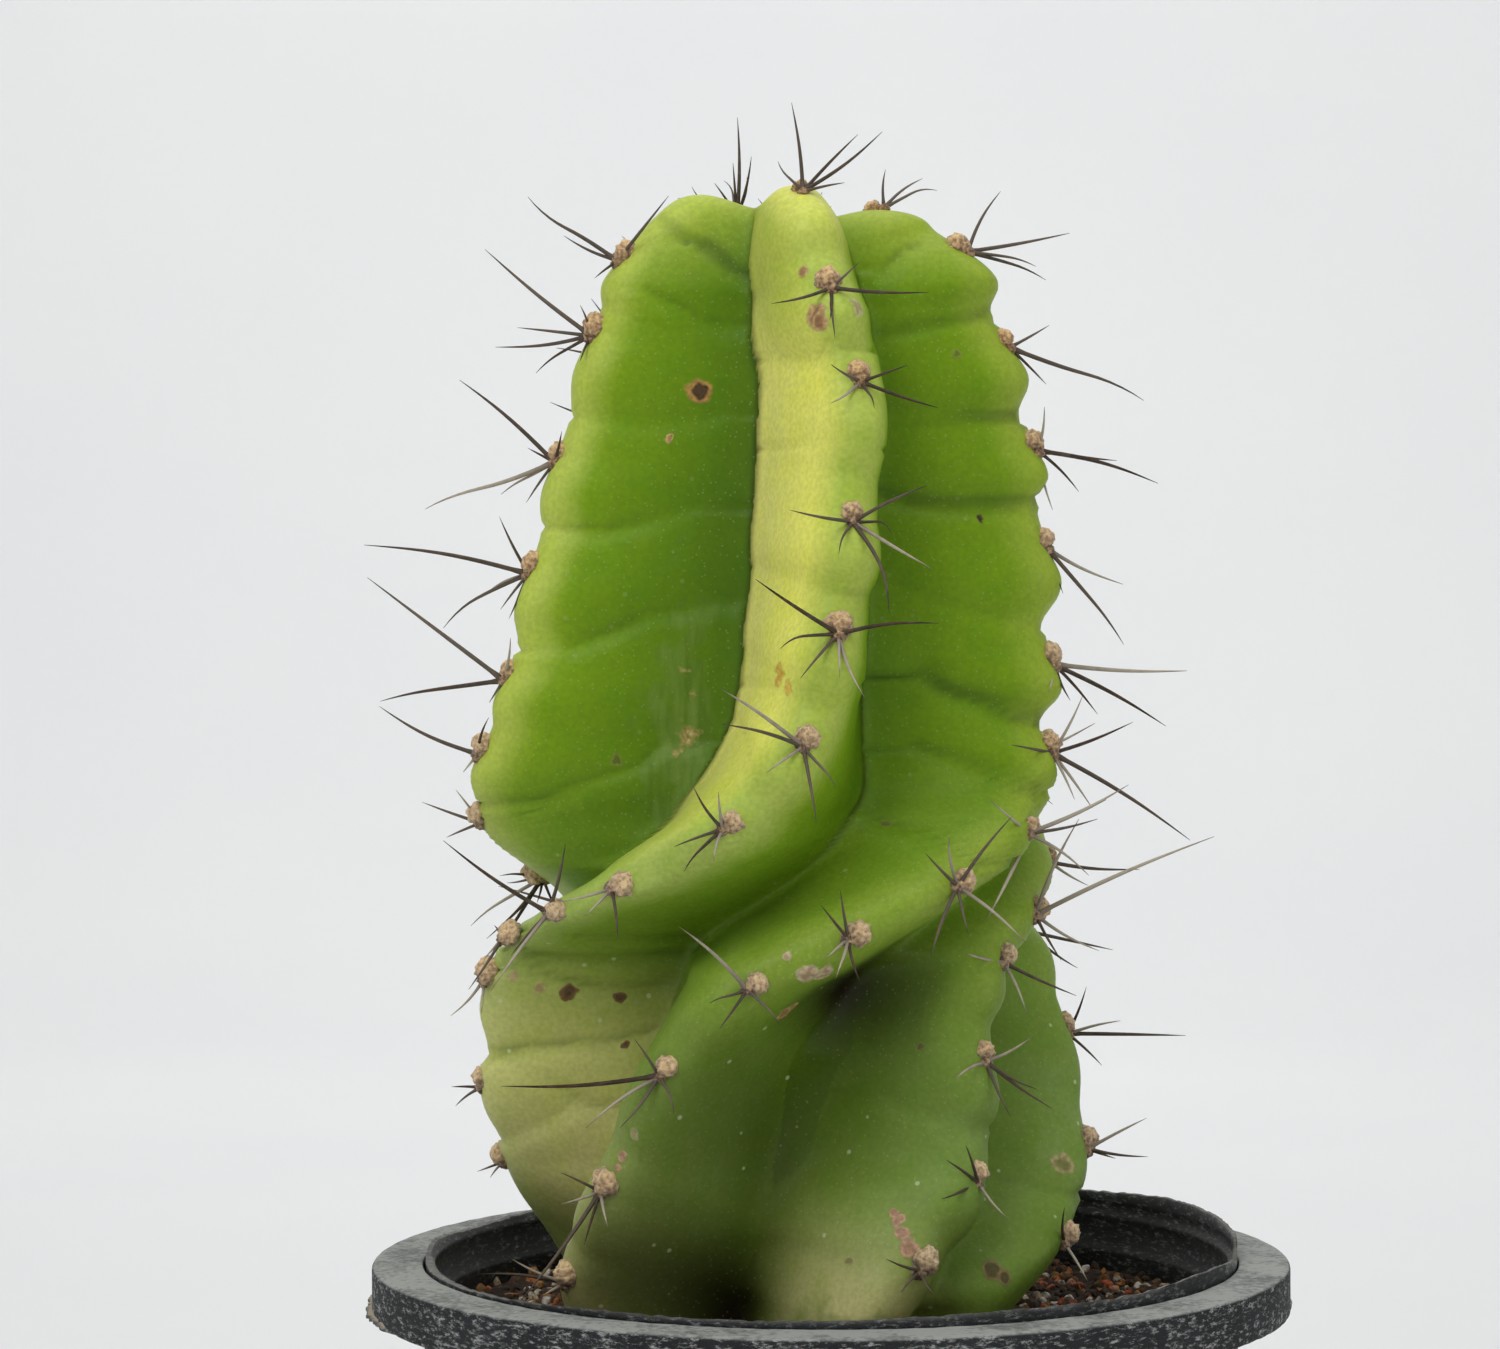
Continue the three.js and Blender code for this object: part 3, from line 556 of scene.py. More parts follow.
def cactusSkin(marks):
    # Living cactus skin: waxy, lime on the young crests and deep green down in the valleys, with fine
    # pale breathing pores, old corky scars and a dull bluish bloom low down. Painted shade darkens the folds,
    # creases and valleys, the hollow under the right rib's crest and parts of the low stem, with some soil
    # dirt in that hollow and at the foot.
    material, tree, shader, where, field = startMaterial(
        "waxy cactus skin", skinFields,
        IOR=1.36, Specular_IOR_Level=0.32, Coat_Weight=0.04, Coat_Roughness=0.35,
    )
    broad, patchy, fine = [
        addNode(tree, "ShaderNodeTexNoise", {
            "Vector": where, "Scale": grain(size), "Detail": detail,
        }).outputs[0] for size, detail in ((38, 3.0), (7, 4.0), (1.1, 3.0))
    ]

    # crest value pushed about by the broad noise, so that the green changes in soft irregular steps
    nudge = addNode(tree, "ShaderNodeMath", {0: broad, 1: 0.5}, operation="SUBTRACT").outputs[0]
    pushed = {0: nudge, 1: 0.3, 2: field["crest"]}
    crest = addNode(tree, "ShaderNodeMath", pushed, operation="MULTIPLY_ADD").outputs[0]
    young = addNode(tree, "ShaderNodeValToRGB", {0: crest}, skinTones["young"]).outputs[0]
    old = addNode(tree, "ShaderNodeValToRGB", {0: crest}, skinTones["old"]).outputs[0]
    green = paintOver(tree, old, [
        (field["young"], young), (field["lime"], "#f0ee74"), (field["tan"], "#d6cf8e"),
    ])
    patches = {0: patchy, 1: 0.42, 2: 0.72, 4: 0.3}
    mottling = addNode(tree, "ShaderNodeMapRange", patches, **smoothly).outputs[0]
    mottled = addNode(
        tree, "ShaderNodeMix", {0: mottling, 6: green, 7: colour("#8fae3f")},
        data_type="RGBA", blend_type="SOFT_LIGHT",
    ).outputs[2]

    # breathing pores, drawn at about 1 mm apart, coarser than real ones so that they show, and a few
    # larger white flecks of lime scale from watering, most of them on the old skin
    pores, flecks = [
        addNode(tree, "ShaderNodeTexVoronoi", {"Vector": where, "Scale": grain(size)}).outputs["Distance"]
        for size in (1.3, 7.5)
    ]
    dots = addNode(tree, "ShaderNodeMapRange", {0: pores, 1: 0.22, 2: 0.1}, **smoothly).outputs[0]
    dotted = addNode(tree, "ShaderNodeMath", {0: dots, 1: 0.16}, operation="MULTIPLY").outputs[0]
    scale = addNode(tree, "ShaderNodeMapRange", {0: flecks, 1: 0.09, 2: 0.05}, **smoothly).outputs[0]
    ageing = {0: field["young"], 1: 0.1, 2: 0.9, 3: 0.6, 4: 0.08}
    rare = addNode(tree, "ShaderNodeMapRange", ageing, **smoothly).outputs[0]
    flecked = addNode(tree, "ShaderNodeMath", {0: scale, 1: rare}, operation="MULTIPLY").outputs[0]

    # weathered skin: the field says where it may be, grey and streaked along the rib, and crumbs of
    # tan cork stand where it is worst
    edge = addNode(tree, "ShaderNodeMath", {0: patchy, 1: field["cork"]}, operation="ADD").outputs[0]
    lengthwise = addNode(tree, "ShaderNodeMapping", {"Vector": where, "Scale": (1, 1, 0.16)}).outputs[0]
    streaky = {"Vector": lengthwise, "Scale": grain(2.0), "Detail": 4.0}
    streaks = addNode(tree, "ShaderNodeTexNoise", streaky).outputs[0]
    weathered = addNode(tree, "ShaderNodeValToRGB", {0: streaks}, skinTones["weathered"]).outputs[0]
    corkMask = addNode(tree, "ShaderNodeMapRange", {0: edge, 1: 1.1, 2: 1.2}, **smoothly).outputs[0]
    cork = addNode(tree, "ShaderNodeValToRGB", {0: fine}, skinTones["cork"]).outputs[0]
    painted = paintOver(tree, mottled, [
        (fine, "#31500a", 0.3, 0.7, 0.0, 0.16),
        # painted shade: darker green along the folds and creases
        (field["fold"], "#3c5510", 0.25, 1.1, 0.0, 0.55),
        # painted shade, with some soil dirt: the valleys, the hollow under the right rib's crest and the foot
        (field["shade"], "#1a1206"),
        (dotted, "#b9cf8a"),
        (flecked, "#c9d6a4"),
        (edge, weathered, 0.74, 1.02, 0.0, 0.5),
        (corkMask, cork),
    ])

    # scars: a pale rim round a darker healed middle, with an outline that wanders
    wandering = {"Vector": where, "Scale": grain(3.2), "Detail": 3.0}
    wander = addNode(tree, "ShaderNodeTexNoise", wandering).outputs["Color"]
    shifted = addNode(tree, "ShaderNodeVectorMath", {0: wander, 1: (0.5, 0.5, 0.5)}, operation="SUBTRACT")
    roaming = {0: shifted.outputs[0], 1: (0.0032, 0.0032, 0.0032), 2: where}
    roamed = addNode(tree, "ShaderNodeVectorMath", roaming, operation="MULTIPLY_ADD").outputs[0]
    scarred = 0.0
    for mark in marks:
        apart = {0: roamed, 1: tuple(mark["centre"])}
        away = addNode(tree, "ShaderNodeVectorMath", apart, operation="DISTANCE").outputs["Value"]
        rim, heart = [
            addNode(tree, "ShaderNodeMapRange", {
                0: away, 1: mark["size"] * outer, 2: mark["size"] * inner,
            }, **smoothly).outputs[0] for outer, inner in scarEdge.values()
        ]
        tone = paintOver(tree, mark["rim"], [(heart, mark["heart"]), (fine, "#6b5138", 0.35, 0.6, 0.0, 0.45)])
        faded = {0: rim, 1: mark["strength"]}
        share = addNode(tree, "ShaderNodeMath", faded, operation="MULTIPLY").outputs[0]
        painted = paintOver(tree, painted, [(share, tone)])
        scarred = addNode(tree, "ShaderNodeMath", {0: scarred, 1: share}, operation="MAXIMUM").outputs[0]

    rough, relief = 0.43, fine
    for value, share in ((corkMask, 0.3), (patchy, 0.16)):
        added = {0: value, 1: share, 2: rough}
        rough = addNode(tree, "ShaderNodeMath", added, operation="MULTIPLY_ADD").outputs[0]
    for value, share in ((dots, 0.12), (corkMask, 1.2), (scarred, 0.9)):
        added = {0: value, 1: share, 2: relief}
        relief = addNode(tree, "ShaderNodeMath", added, operation="MULTIPLY_ADD").outputs[0]
    tree.links.new(rough, shader.inputs["Roughness"])
    finishMaterial(tree, shader, painted, relief, 0.35, 0.0003)
    return material


def woollyPad():
    # Felted wool of an areole: matt short fibres, tan and orange on top, grey brown at the sides. The top
    # field is partly painted light: the wool is lighter where it faces out and up and darker towards its
    # foot.
    material, tree, shader, where, field = startMaterial(
        "felted wool", ("top", "tone"), Roughness=0.95, IOR=1.45, Sheen_Weight=0.25, Sheen_Roughness=0.6,
    )
    tufted = {"Vector": where, "Scale": grain(0.9), "Detail": 4.0}
    tufts = addNode(tree, "ShaderNodeTexNoise", tufted).outputs[0]
    mixed = -0.38
    for value, share in ((field["top"], 0.6), (tufts, 1.5)):
        added = {0: value, 1: share, 2: mixed}
        mixed = addNode(tree, "ShaderNodeMath", added, operation="MULTIPLY_ADD").outputs[0]
    young, weathered = [addNode(tree, "ShaderNodeValToRGB", {0: mixed}, stops).outputs[0] for stops in (
        [(0.2, "#573d2a"), (0.5, "#a17d57"), (0.75, "#d8b078"), (1.0, "#ecca8c")],
        [(0.2, "#594737"), (0.5, "#a58c6e"), (0.75, "#d0b48c"), (1.0, "#e4cda0")],
    )]
    wool = paintOver(tree, young, [(field["tone"], weathered)])
    finishMaterial(tree, shader, wool, tufts, 0.9, 0.0005)
    return material


def drySpine():
    # Dead woody spine: dark horn brown when young with a redder middle, bleaching to pale grey with age.
    material, tree, shader, where, field = startMaterial(
        "weathered spine", ("tone", "reach"), Roughness=0.68, IOR=1.38,
    )
    streaky = {"Vector": where, "Scale": grain(1.6), "Detail": 3.0}
    streak = addNode(tree, "ShaderNodeTexNoise", streaky).outputs[0]
    dark, pale = [addNode(tree, "ShaderNodeValToRGB", {0: field["reach"]}, stops).outputs[0] for stops in (
        [(0.0, "#4b3c2d"), (0.3, "#34281c"), (0.6, "#432c1c"), (0.9, "#1e160f")],
        [(0.0, "#85796a"), (0.35, "#aaa08e"), (0.75, "#b5aa96"), (1.0, "#6b5b49")],
    )]
    horn = paintOver(tree, dark, [(field["tone"], pale), (streak, "#736859", 0.45, 0.75, 0.0, 0.3)])
    finishMaterial(tree, shader, horn, streak, 0.4, 0.0002)
    return material


def pottingSoil():
    # Damp peat and bark compost: nearly black crumbs with brown fibre and the odd pale bit.
    material, tree, shader, where, field = startMaterial("peat compost", Roughness=0.97, IOR=1.4)
    crumbly = {"Vector": where, "Scale": grain(3.5), "Detail": 6.0}
    crumbs = addNode(tree, "ShaderNodeTexNoise", crumbly).outputs[0]
    bits = addNode(tree, "ShaderNodeTexVoronoi", {"Vector": where, "Scale": grain(2.2)})
    base = addNode(tree, "ShaderNodeValToRGB", {0: crumbs}, [
        (0.3, "#0f0c09"), (0.5, "#241a13"), (0.62, "#3a2a1e"), (0.75, "#5b432f"),
    ]).outputs[0]
    chips = addNode(tree, "ShaderNodeValToRGB", {0: bits.outputs["Color"]}, [
        (0.0, "#1a130e"), (0.6, "#2e2118"), (0.85, "#6b4a2f"), (1.0, "#8f7350"),
    ]).outputs[0]
    mixed = paintOver(tree, base, [(crumbs, chips, 0.45, 0.65, 0.15, 0.75)])
    lumpy = {0: bits.outputs["Distance"], 1: -0.6, 2: crumbs}
    relief = addNode(tree, "ShaderNodeMath", lumpy, operation="MULTIPLY_ADD").outputs[0]
    finishMaterial(tree, shader, mixed, relief, 1.0, 0.0015)
    return material


def crushedGrit():
    # Crushed brick, pumice and bark: each grain has one colour, picked by its own number.
    material, tree, shader, where, field = startMaterial("crushed grit", ("tone",), Roughness=0.92, IOR=1.5)
    grains = addNode(tree, "ShaderNodeValToRGB", {0: field["tone"]}, [
        (0.0, "#2a1d14"), (0.3, "#4a3423"), (0.48, "#7a5433"), (0.64, "#a8763f"), (0.78, "#b3522c"),
        (0.88, "#b9a98c"), (0.95, "#d8cfc0"),
    ]).outputs[0]
    dirty = {"Vector": where, "Scale": grain(1.2), "Detail": 4.0}
    dirt = addNode(tree, "ShaderNodeTexNoise", dirty).outputs[0]
    tone = paintOver(tree, grains, [(dirt, "#2b2019", 0.4, 0.7, 0.1, 0.75)])
    finishMaterial(tree, shader, tone, dirt, 0.7, 0.0006)
    return material


def dustyPolypropylene(name, bare, dust, amount, gloss):
    # Injection moulded black polypropylene, gone grey: dust lies on what faces up, the sides are
    # rubbed chalky, and fine scratches run round the pot.
    material, tree, shader, where, field = startMaterial(name, IOR=1.49, Specular_IOR_Level=0.3)
    facing = addNode(tree, "ShaderNodeNewGeometry").outputs["Normal"]
    upward = addNode(tree, "ShaderNodeSeparateXYZ", {0: facing}).outputs["Z"]
    flat = addNode(tree, "ShaderNodeMapping", {"Vector": where, "Scale": (0.4, 0.4, 1.2)}).outputs[0]
    cloud, specks, scratches, rubbed = [
        addNode(tree, "ShaderNodeTexNoise", {
            "Vector": at, "Scale": grain(size), "Detail": detail, "Roughness": harshness,
        }).outputs[0] for at, size, detail, harshness in (
            (where, 14, 6.0, 0.5), (where, 1.3, 5.0, 0.5), (flat, 1.0, 8.0, 0.75), (flat, 1.0, 9.0, 0.8),
        )
    ]
    clouded = {0: cloud, 1: 0.12, 2: rubbed}
    worn = addNode(tree, "ShaderNodeMath", clouded, operation="MULTIPLY_ADD").outputs[0]
    lying = addNode(tree, "ShaderNodeMapRange", {0: upward, 1: 0.35, 2: 0.95}, **smoothly).outputs[0]
    patch = addNode(tree, "ShaderNodeMath", {0: cloud, 1: specks}, operation="ADD").outputs[0]
    patchiness = {0: patch, 1: 0.72, 2: 1.2, 3: 0.35}
    settled = addNode(tree, "ShaderNodeMapRange", patchiness, **smoothly).outputs[0]
    for share in (lying, amount * 2.1):
        settled = addNode(tree, "ShaderNodeMath", {0: settled, 1: share}, operation="MULTIPLY").outputs[0]
    tone = paintOver(tree, colour(bare), [
        (cloud, "#303336", 0.35, 0.7, 0.0, 0.5),
        (worn, "#a3a5a2", 0.56, 0.7, 0.0, amount * 1.5),
        (scratches, "#adafad", 0.54, 0.68, 0.0, amount),
        (settled, dust),
    ])
    dulled = {0: patch, 1: 0.22, 2: gloss}
    rough = addNode(tree, "ShaderNodeMath", dulled, operation="MULTIPLY_ADD").outputs[0]
    tree.links.new(rough, shader.inputs["Roughness"])
    finishMaterial(tree, shader, tone, scratches, 0.35, 0.0003)
    return material


def paintedBackdrop():
    # Matt off-white studio paint.
    material, tree, shader, where, field = startMaterial("matt backdrop", Roughness=0.95)
    cloudy = {"Vector": where, "Scale": 1.5, "Detail": 3.0}
    cloud = addNode(tree, "ShaderNodeTexNoise", cloudy).outputs[0]
    paint = addNode(tree, "ShaderNodeValToRGB", {0: cloud}, [(0.3, "#ecedee"), (0.7, "#f1f2f2")]).outputs[0]
    tree.links.new(paint, shader.inputs["Base Color"])
    return material


# ---- the stem ------------------------------------------------------------------------------------

def blob(bearing, height, centre, size):
    # soft oval patch on the unrolled skin: 1 in its middle
    across = ((bearing - centre[0] + 180) % 360 - 180) / size[0]
    return np.exp(-across**2 - ((height - centre[1]) / size[1]) ** 2)


def skinSpot(points, turn, up):
    # the point of the skin nearest to a bearing and a height above the soil
    bearing = np.degrees(np.arctan2(points[..., 0] - stemSizes["offset"], -points[..., 1]))
    away = ((bearing - turn + 180) % 360 - 180) ** 2 * 0.6 + (points[..., 2] - soilTop - up) ** 2
    away = away - 0.4 * np.hypot(points[..., 0] - stemSizes["offset"], points[..., 1])
    return points.reshape(-1, 3)[away.argmin()]


def pressCreases(points, ribNumber):
    # towards a crease the skin sinks slowly from above and comes out sharply below it, and painted shade
    # darkens a line along the crease and the hollow above it
    lengthwise = np.gradient(points, axis=0)
    around = np.roll(points, -1, axis=1) - np.roll(points, 1, axis=1)
    normal = np.cross(around, lengthwise)
    normal = normal / np.maximum(np.linalg.norm(normal, axis=-1, keepdims=True), 1e-6)
    sink, dark = np.zeros(ribNumber.shape), np.zeros(ribNumber.shape)
    for letter, depth, route in creases:
        knots = [skinSpot(points, turn, up) for turn, up in route]
        nearest, signed = np.full(ribNumber.shape, 1e9), np.zeros(ribNumber.shape)
        for start, end in zip(knots, knots[1:]):
            run = end - start
            share = np.clip((points - start) @ run / max(run @ run, 1e-6), 0, 1)
            gap = points - (start + share[..., None] * run)
            away = np.linalg.norm(gap, axis=-1)
            closer = away < nearest
            nearest = np.where(closer, away, nearest)
            signed = np.where(closer, np.sign(gap[..., 2]) * away, signed)
        above = np.exp(-(np.maximum(signed, 0) / creaseSizes["above"]) ** 1.4)
        below = np.exp(-(np.minimum(signed, 0) / creaseSizes["below"]) ** 2)
        same = ribNumber == list(ribs).index(letter)
        sink += same * depth * above * below
        # painted shade: a dark line along the crease and a darker band in the hollow above it
        line = creaseSizes["lineShade"] * np.exp(-(signed / creaseSizes["line"]) ** 2)
        dark += same * depth * (line + creaseSizes["hollowShade"] * above * (signed > 0))
    return points - normal * sink[..., None], dark


def makeStem():
    sizes = stemSizes
    places = np.concatenate([
        np.arange(1 - sizes["buried"], sizes["shoulder"], sizes["rowStep"]),
        sizes["shoulder"] + sizes["capRun"] * np.arange(sizes["capRows"]) / sizes["capRows"],
    ])
    turns = np.arange(sizes["columns"]) * 360 / sizes["columns"]
    bearing = turns[None, :] + along(winding, places)[:, :1]
    points, fields = stemSurface(bearing, places[:, None])

    # the skin is never quite even: broad soft lumps, a few millimetres apart
    axis = np.array([sizes["offset"], 0, 0])
    outward = (points - axis) * [1, 1, 0]
    outward = outward / np.maximum(np.linalg.norm(outward, axis=-1, keepdims=True), 1)
    flat = points.reshape(-1, 3)
    lumps = np.array([
        sum(high * noise.noise(Vector(p) / wide) for wide, high in sizes["lumps"]) for p in flat.tolist()
    ]).reshape(places.size, -1, 1)
    points = points + outward * lumps * np.clip((fields["crest"] - 0.3) / 0.4, 0, 1)[..., None]
    points, dark = pressCreases(points, fields["rib"])
    fields["fold"] = fields["fold"] + dark

    rows, columns = bearing.shape
    bottom = rows * columns
    vertices = np.concatenate([
        points.reshape(-1, 3),
        [[sizes["offset"], 0, soilTop - sizes["buried"]]],
        [[sizes["offset"], 0, soilTop + sizes["shoulder"] + crestTop[0][2]]],
    ])
    faces = skinFaces(rows, columns)
    faces += capFaces(0, columns, bottom, False)
    faces += capFaces((rows - 1) * columns, columns, bottom + 1, True)

    height = points[..., 2] - soilTop
    bearing = np.degrees(np.arctan2(points[..., 0] - sizes["offset"], -points[..., 1]))
    crest, side = fields["crest"], fields["side"]
    middleRib = fields["rib"] == list(ribs).index("b")
    # painted light and shade per rib: lift lightens the faces of ribs c and d, and the cap holds the crests
    # of ribs c, d and e duller
    ribPaintedLight, ribPaintedShade, ribLime = [
        np.array([rib[key] for rib in ribs.values()])[fields["rib"]] for key in ("lift", "tone", "lime")
    ]

    def rising(value, start, run):
        return np.clip((value - start) / run, 0, 1)

    # the middle rib's left flank has gone lime yellow, and so have the youngest crests; each rib's share of
    # crest lime is partly painted light, more on rib a, which faces the light
    young = rising(height, 55, 70)
    lime = 0.92 * middleRib * rising(-side, 0.03, 0.12) * rising(height, 95, 35)
    lime = lime * np.clip((235 - height) / 30, 0.45, 1)
    lime = np.maximum(lime, ribLime * rising(crest, 0.86, 0.12) * young)
    topLime = rising(height, 222, 24) * rising(crest, 0.55, 0.35)
    lime = np.maximum(lime, topLime * np.where(middleRib, 0.85, 0.4))
    # fold and shade carry painted shade: darker along folds and creases, in the valleys high on the stem,
    # under the right rib's crest and low on the stem, with some soil dirt under that crest and at the foot
    found = {
        "crest": np.minimum(crest + ribPaintedLight, ribPaintedShade),
        "fold": fields["fold"],
        "young": young,
        "lime": lime,
        "cork": 0.5 * rising(-height, -9, 16),
        "shade": 0.6 * fields["valley"] * rising(height, 85, 25),
        "tan": 0.4 * middleRib * rising(-side, 0.18, 0.2) * np.exp(-((height - 165) / 60) ** 2),
    }
    # painted shadow with some soil dirt: the hollow under the right rib's crest is dark all the way in, but
    # not on the crest
    hollowDirtAndShade = blob(bearing, height, (20, 75), (23, 13)) * rising(-crest, -0.92, 0.1)
    found["shade"] = np.maximum(found["shade"], hollowDirtAndShade)
    for name, strength, letter, turn, up, wide, high in stainsAndShade:
        patch = strength * blob(bearing, height, (turn, up), (wide, high))
        if letter:
            patch = patch * (fields["rib"] == list(ribs).index(letter))
        found[name] = np.maximum(found[name], patch)

    marks = []
    for kind, turn, up, size, strength in scars:
        centre = skinSpot(points, turn, up) * millimetre
        rim, heart = map(colour, scarTones[kind])
        marks.append({
            "centre": centre, "size": size * millimetre, "strength": strength, "rim": rim, "heart": heart,
        })
    piece = makePiece("stem_flesh", vertices, faces, cactusSkin(marks))
    for name in skinFields:
        values = found[name].ravel()
        storeField(piece, name, np.concatenate([values, values[[0, -1]]]))
    return piece


# Stains and painted shade on the skin: what they are, how strong, the rib they are on or none for all,
# the bearing and height above the soil of the middle, and the half width in degrees and half height in
# millimetres. Lime, cork and tan are the skin's own colour, though the lime patch low on rib b is also
# painted light; shade is painted shade, with soil dirt in it at the foot.
stainsAndShade = [
    ("lime", 0.5, "b", -74, 52, 20, 26), ("cork", 0.57, "a", -46, 126, 14, 40),
    ("cork", 0.64, "", 12, 2, 17, 11), ("tan", 1, "", 12, 4, 20, 18), ("tan", 0.9, "", -70, 28, 26, 30),
    ("tan", 0.45, "", -72, 58, 24, 20), ("tan", 0.8, "", -57, 10, 9, 12),
    ("shade", 1, "", -29, 3, 24, 22), ("shade", 0.4, "", -12, 42, 17, 24),
]
scarTones = {
    "tan": ("#c9a873", "#a37b52"), "hole": ("#b98f4e", "#3a2c1d"), "pale": ("#cdbf98", "#c3ab88"),
    "dark": ("#4d4a1c", "#2b2414"), "pink": ("#c9a185", "#b98f75"), "orange": ("#e0b251", "#e2a045"),
    "ring": ("#b8a878", "#7f8148"), "dirt": ("#755038", "#452e20"), "knot": ("#8f7f52", "#4c3d26"),
}
# Scars on the skin: kind, bearing, height above the soil, radius in millimetres, strength.
scars = [
    ("hole", -42, 201.6, 2.7, 1), ("tan", 4.4, 225, 1.4, 0.9), ("tan", 6.8, 215.5, 2.9, 1),
    ("tan", 7.4, 213.5, 2.4, 1), ("pale", 18.5, 218, 2.3, 0.75), ("tan", -50.3, 192, 1.2, 0.9),
    ("dark", 65.7, 173.6, 0.8, 1), ("knot", 59.8, 208.9, 1.1, 0.5), ("knot", 32.5, 109.6, 1.3, 0.55),
    ("orange", -2.4, 141.5, 2.6, 0.75), ("orange", -1.4, 138.5, 1.9, 0.6), ("knot", -61.2, 123, 1.5, 0.5),
    ("pale", -0.2, 84.2, 1.3, 0.95), ("pale", 3.2, 79.7, 2.2, 1), ("pale", 7, 80.1, 2.4, 1),
    ("tan", -0.9, 71.6, 1.8, 0.95), ("tan", 1.2, 71.9, 1.3, 0.9), ("pale", -33.8, 47, 1.5, 0.6),
    ("pink", -37, 41.6, 1.2, 0.9), ("pink", -38.4, 39.6, 1.1, 0.9), ("pink", -68.7, 76.5, 1.3, 0.6),
    ("pink", -66.9, 74.3, 1.3, 0.6), ("dirt", -64.9, 72.8, 2.0, 0.95), ("dirt", -61.8, 71.4, 1.5, 0.95),
    ("dirt", -65.6, 62.2, 1.1, 0.95), ("knot", 38.4, 62.3, 1.0, 0.55), ("ring", 77.7, 34.9, 2.5, 0.85),
    ("knot", 52.2, 15, 2.6, 0.85), ("knot", 54, 14.3, 1.9, 0.85), ("pink", 25.9, 29.5, 1.2, 0.9),
    ("pink", 26.1, 27.4, 1.5, 0.95), ("pink", 26.6, 25.2, 1.7, 0.95), ("pink", 27.4, 22.6, 2.2, 0.95),
    ("ring", 14.7, 19, 1.0, 0.7),
]

stemPiece = makeStem()
print("stem", len(stemPiece.data.polygons), "faces")


# ---- pads and spines -----------------------------------------------------------------------------

padSizes = {
    "radius": 2.7, "height": 2.6,
    "lift": 0.9,            # the wool stands above the areole's middle
    "mound": 0.62,          # size of the dark mound that the spines stand in, as a share of the wool
    "drop": 1.7,            # and how far it lies below the middle
    "reach": 125,           # degrees of a dome that show; the rest is sunk in the skin
    "around": 22, "rings": 11,
    "lumps": ((2.4, 0.3), (7, 0.1)),    # how fine and how high the wool's unevenness is
    "young": 240, "youngSize": 0.8,     # pads above this height are still small
}
hairSizes = {"Density": 1.6e6, "Length": 0.0011, "Width": 0.00007, "Seed": 4}
spineSizes = {
    "thickest": 0.52, "thinnest": 0.26, "perLength": 0.0085, "bow": 0.045,
    "bulb": 0.5, "bulbLength": 1.1,     # swelling at the foot
    "bendFrom": 0.55, "bendRun": 0.45,  # shares of the length where a bend starts and that it takes
    "oldBelow": 210, "bleached": 0.62,  # old spines past this share of a draw have bleached
    "points": 12, "sides": 7,
}
# Spines of a pad on the back: how many, how long, and how far out of the skin they point.
wildSpines = {"long": (3, (20, 33), (0.75, 1), 120, 35), "short": (4, (8, 13), (0.35, 0.6), 90, 30)}


def wildTips(letter, place):
    # a rosette for a pad that has no tips of its own: three long spines and four short ones
    draw = random.Random(f"{letter}{place}")
    tips = []
    for count, lengths, outs, step, stray in wildSpines.values():
        for i in range(len(tips), len(tips) + count):
            length = draw.uniform(*lengths)
            outwards = draw.uniform(*outs)
            turn = math.radians(step * i + draw.uniform(-stray, stray))
            sideways = math.sqrt(1 - outwards**2)
            bend = draw.uniform(-1, 1.5)
            tips.append((length, outwards, math.cos(turn) * sideways, math.sin(turn) * sideways, bend))
    return tips


def padPlaces():
    # every pad: its name, its frame, the tips of its spines measured from it, and its place on the rib
    found = []
    for letter, rib in ribs.items():
        for place, *tips in rib["pads"]:
            centre, outward, down = crestFrame(letter, place)
            across = np.cross(outward, down)
            if not tips:
                tips = [
                    list(length * (out * outward + downward * down + sideways * across)) + [bend]
                    for length, out, downward, sideways, bend in wildTips(letter, place)
                ]
            found.append((f"{letter}{place}", centre, outward, down, tips, place))
    crown = np.array([stemSizes["offset"], 0, soilTop + stemSizes["shoulder"] + crestTop[0][2]])
    found.append(("crown", crown, np.array([0, 0, 1.0]), np.array([0, -1.0, 0]), crownTips, 283))
    return found


crownTips = [
    [5, 2, 17, 1], [8, -3, 14], [11, 3, 13, 2], [2, 8, 16], [-6, 6, 18, 2], [-9, 1, 14, 2], [7, 8, 12],
    [8, 2, 19], [10, 3, 16, 1], [11.5, 1, 13], [7, 4, 17, -1], [9.5, -2, 14], [3, -5, 12, 1], [-3, 3, 14],
    [12, 6, 9, 1], [-10, -4, 9, 1],
]


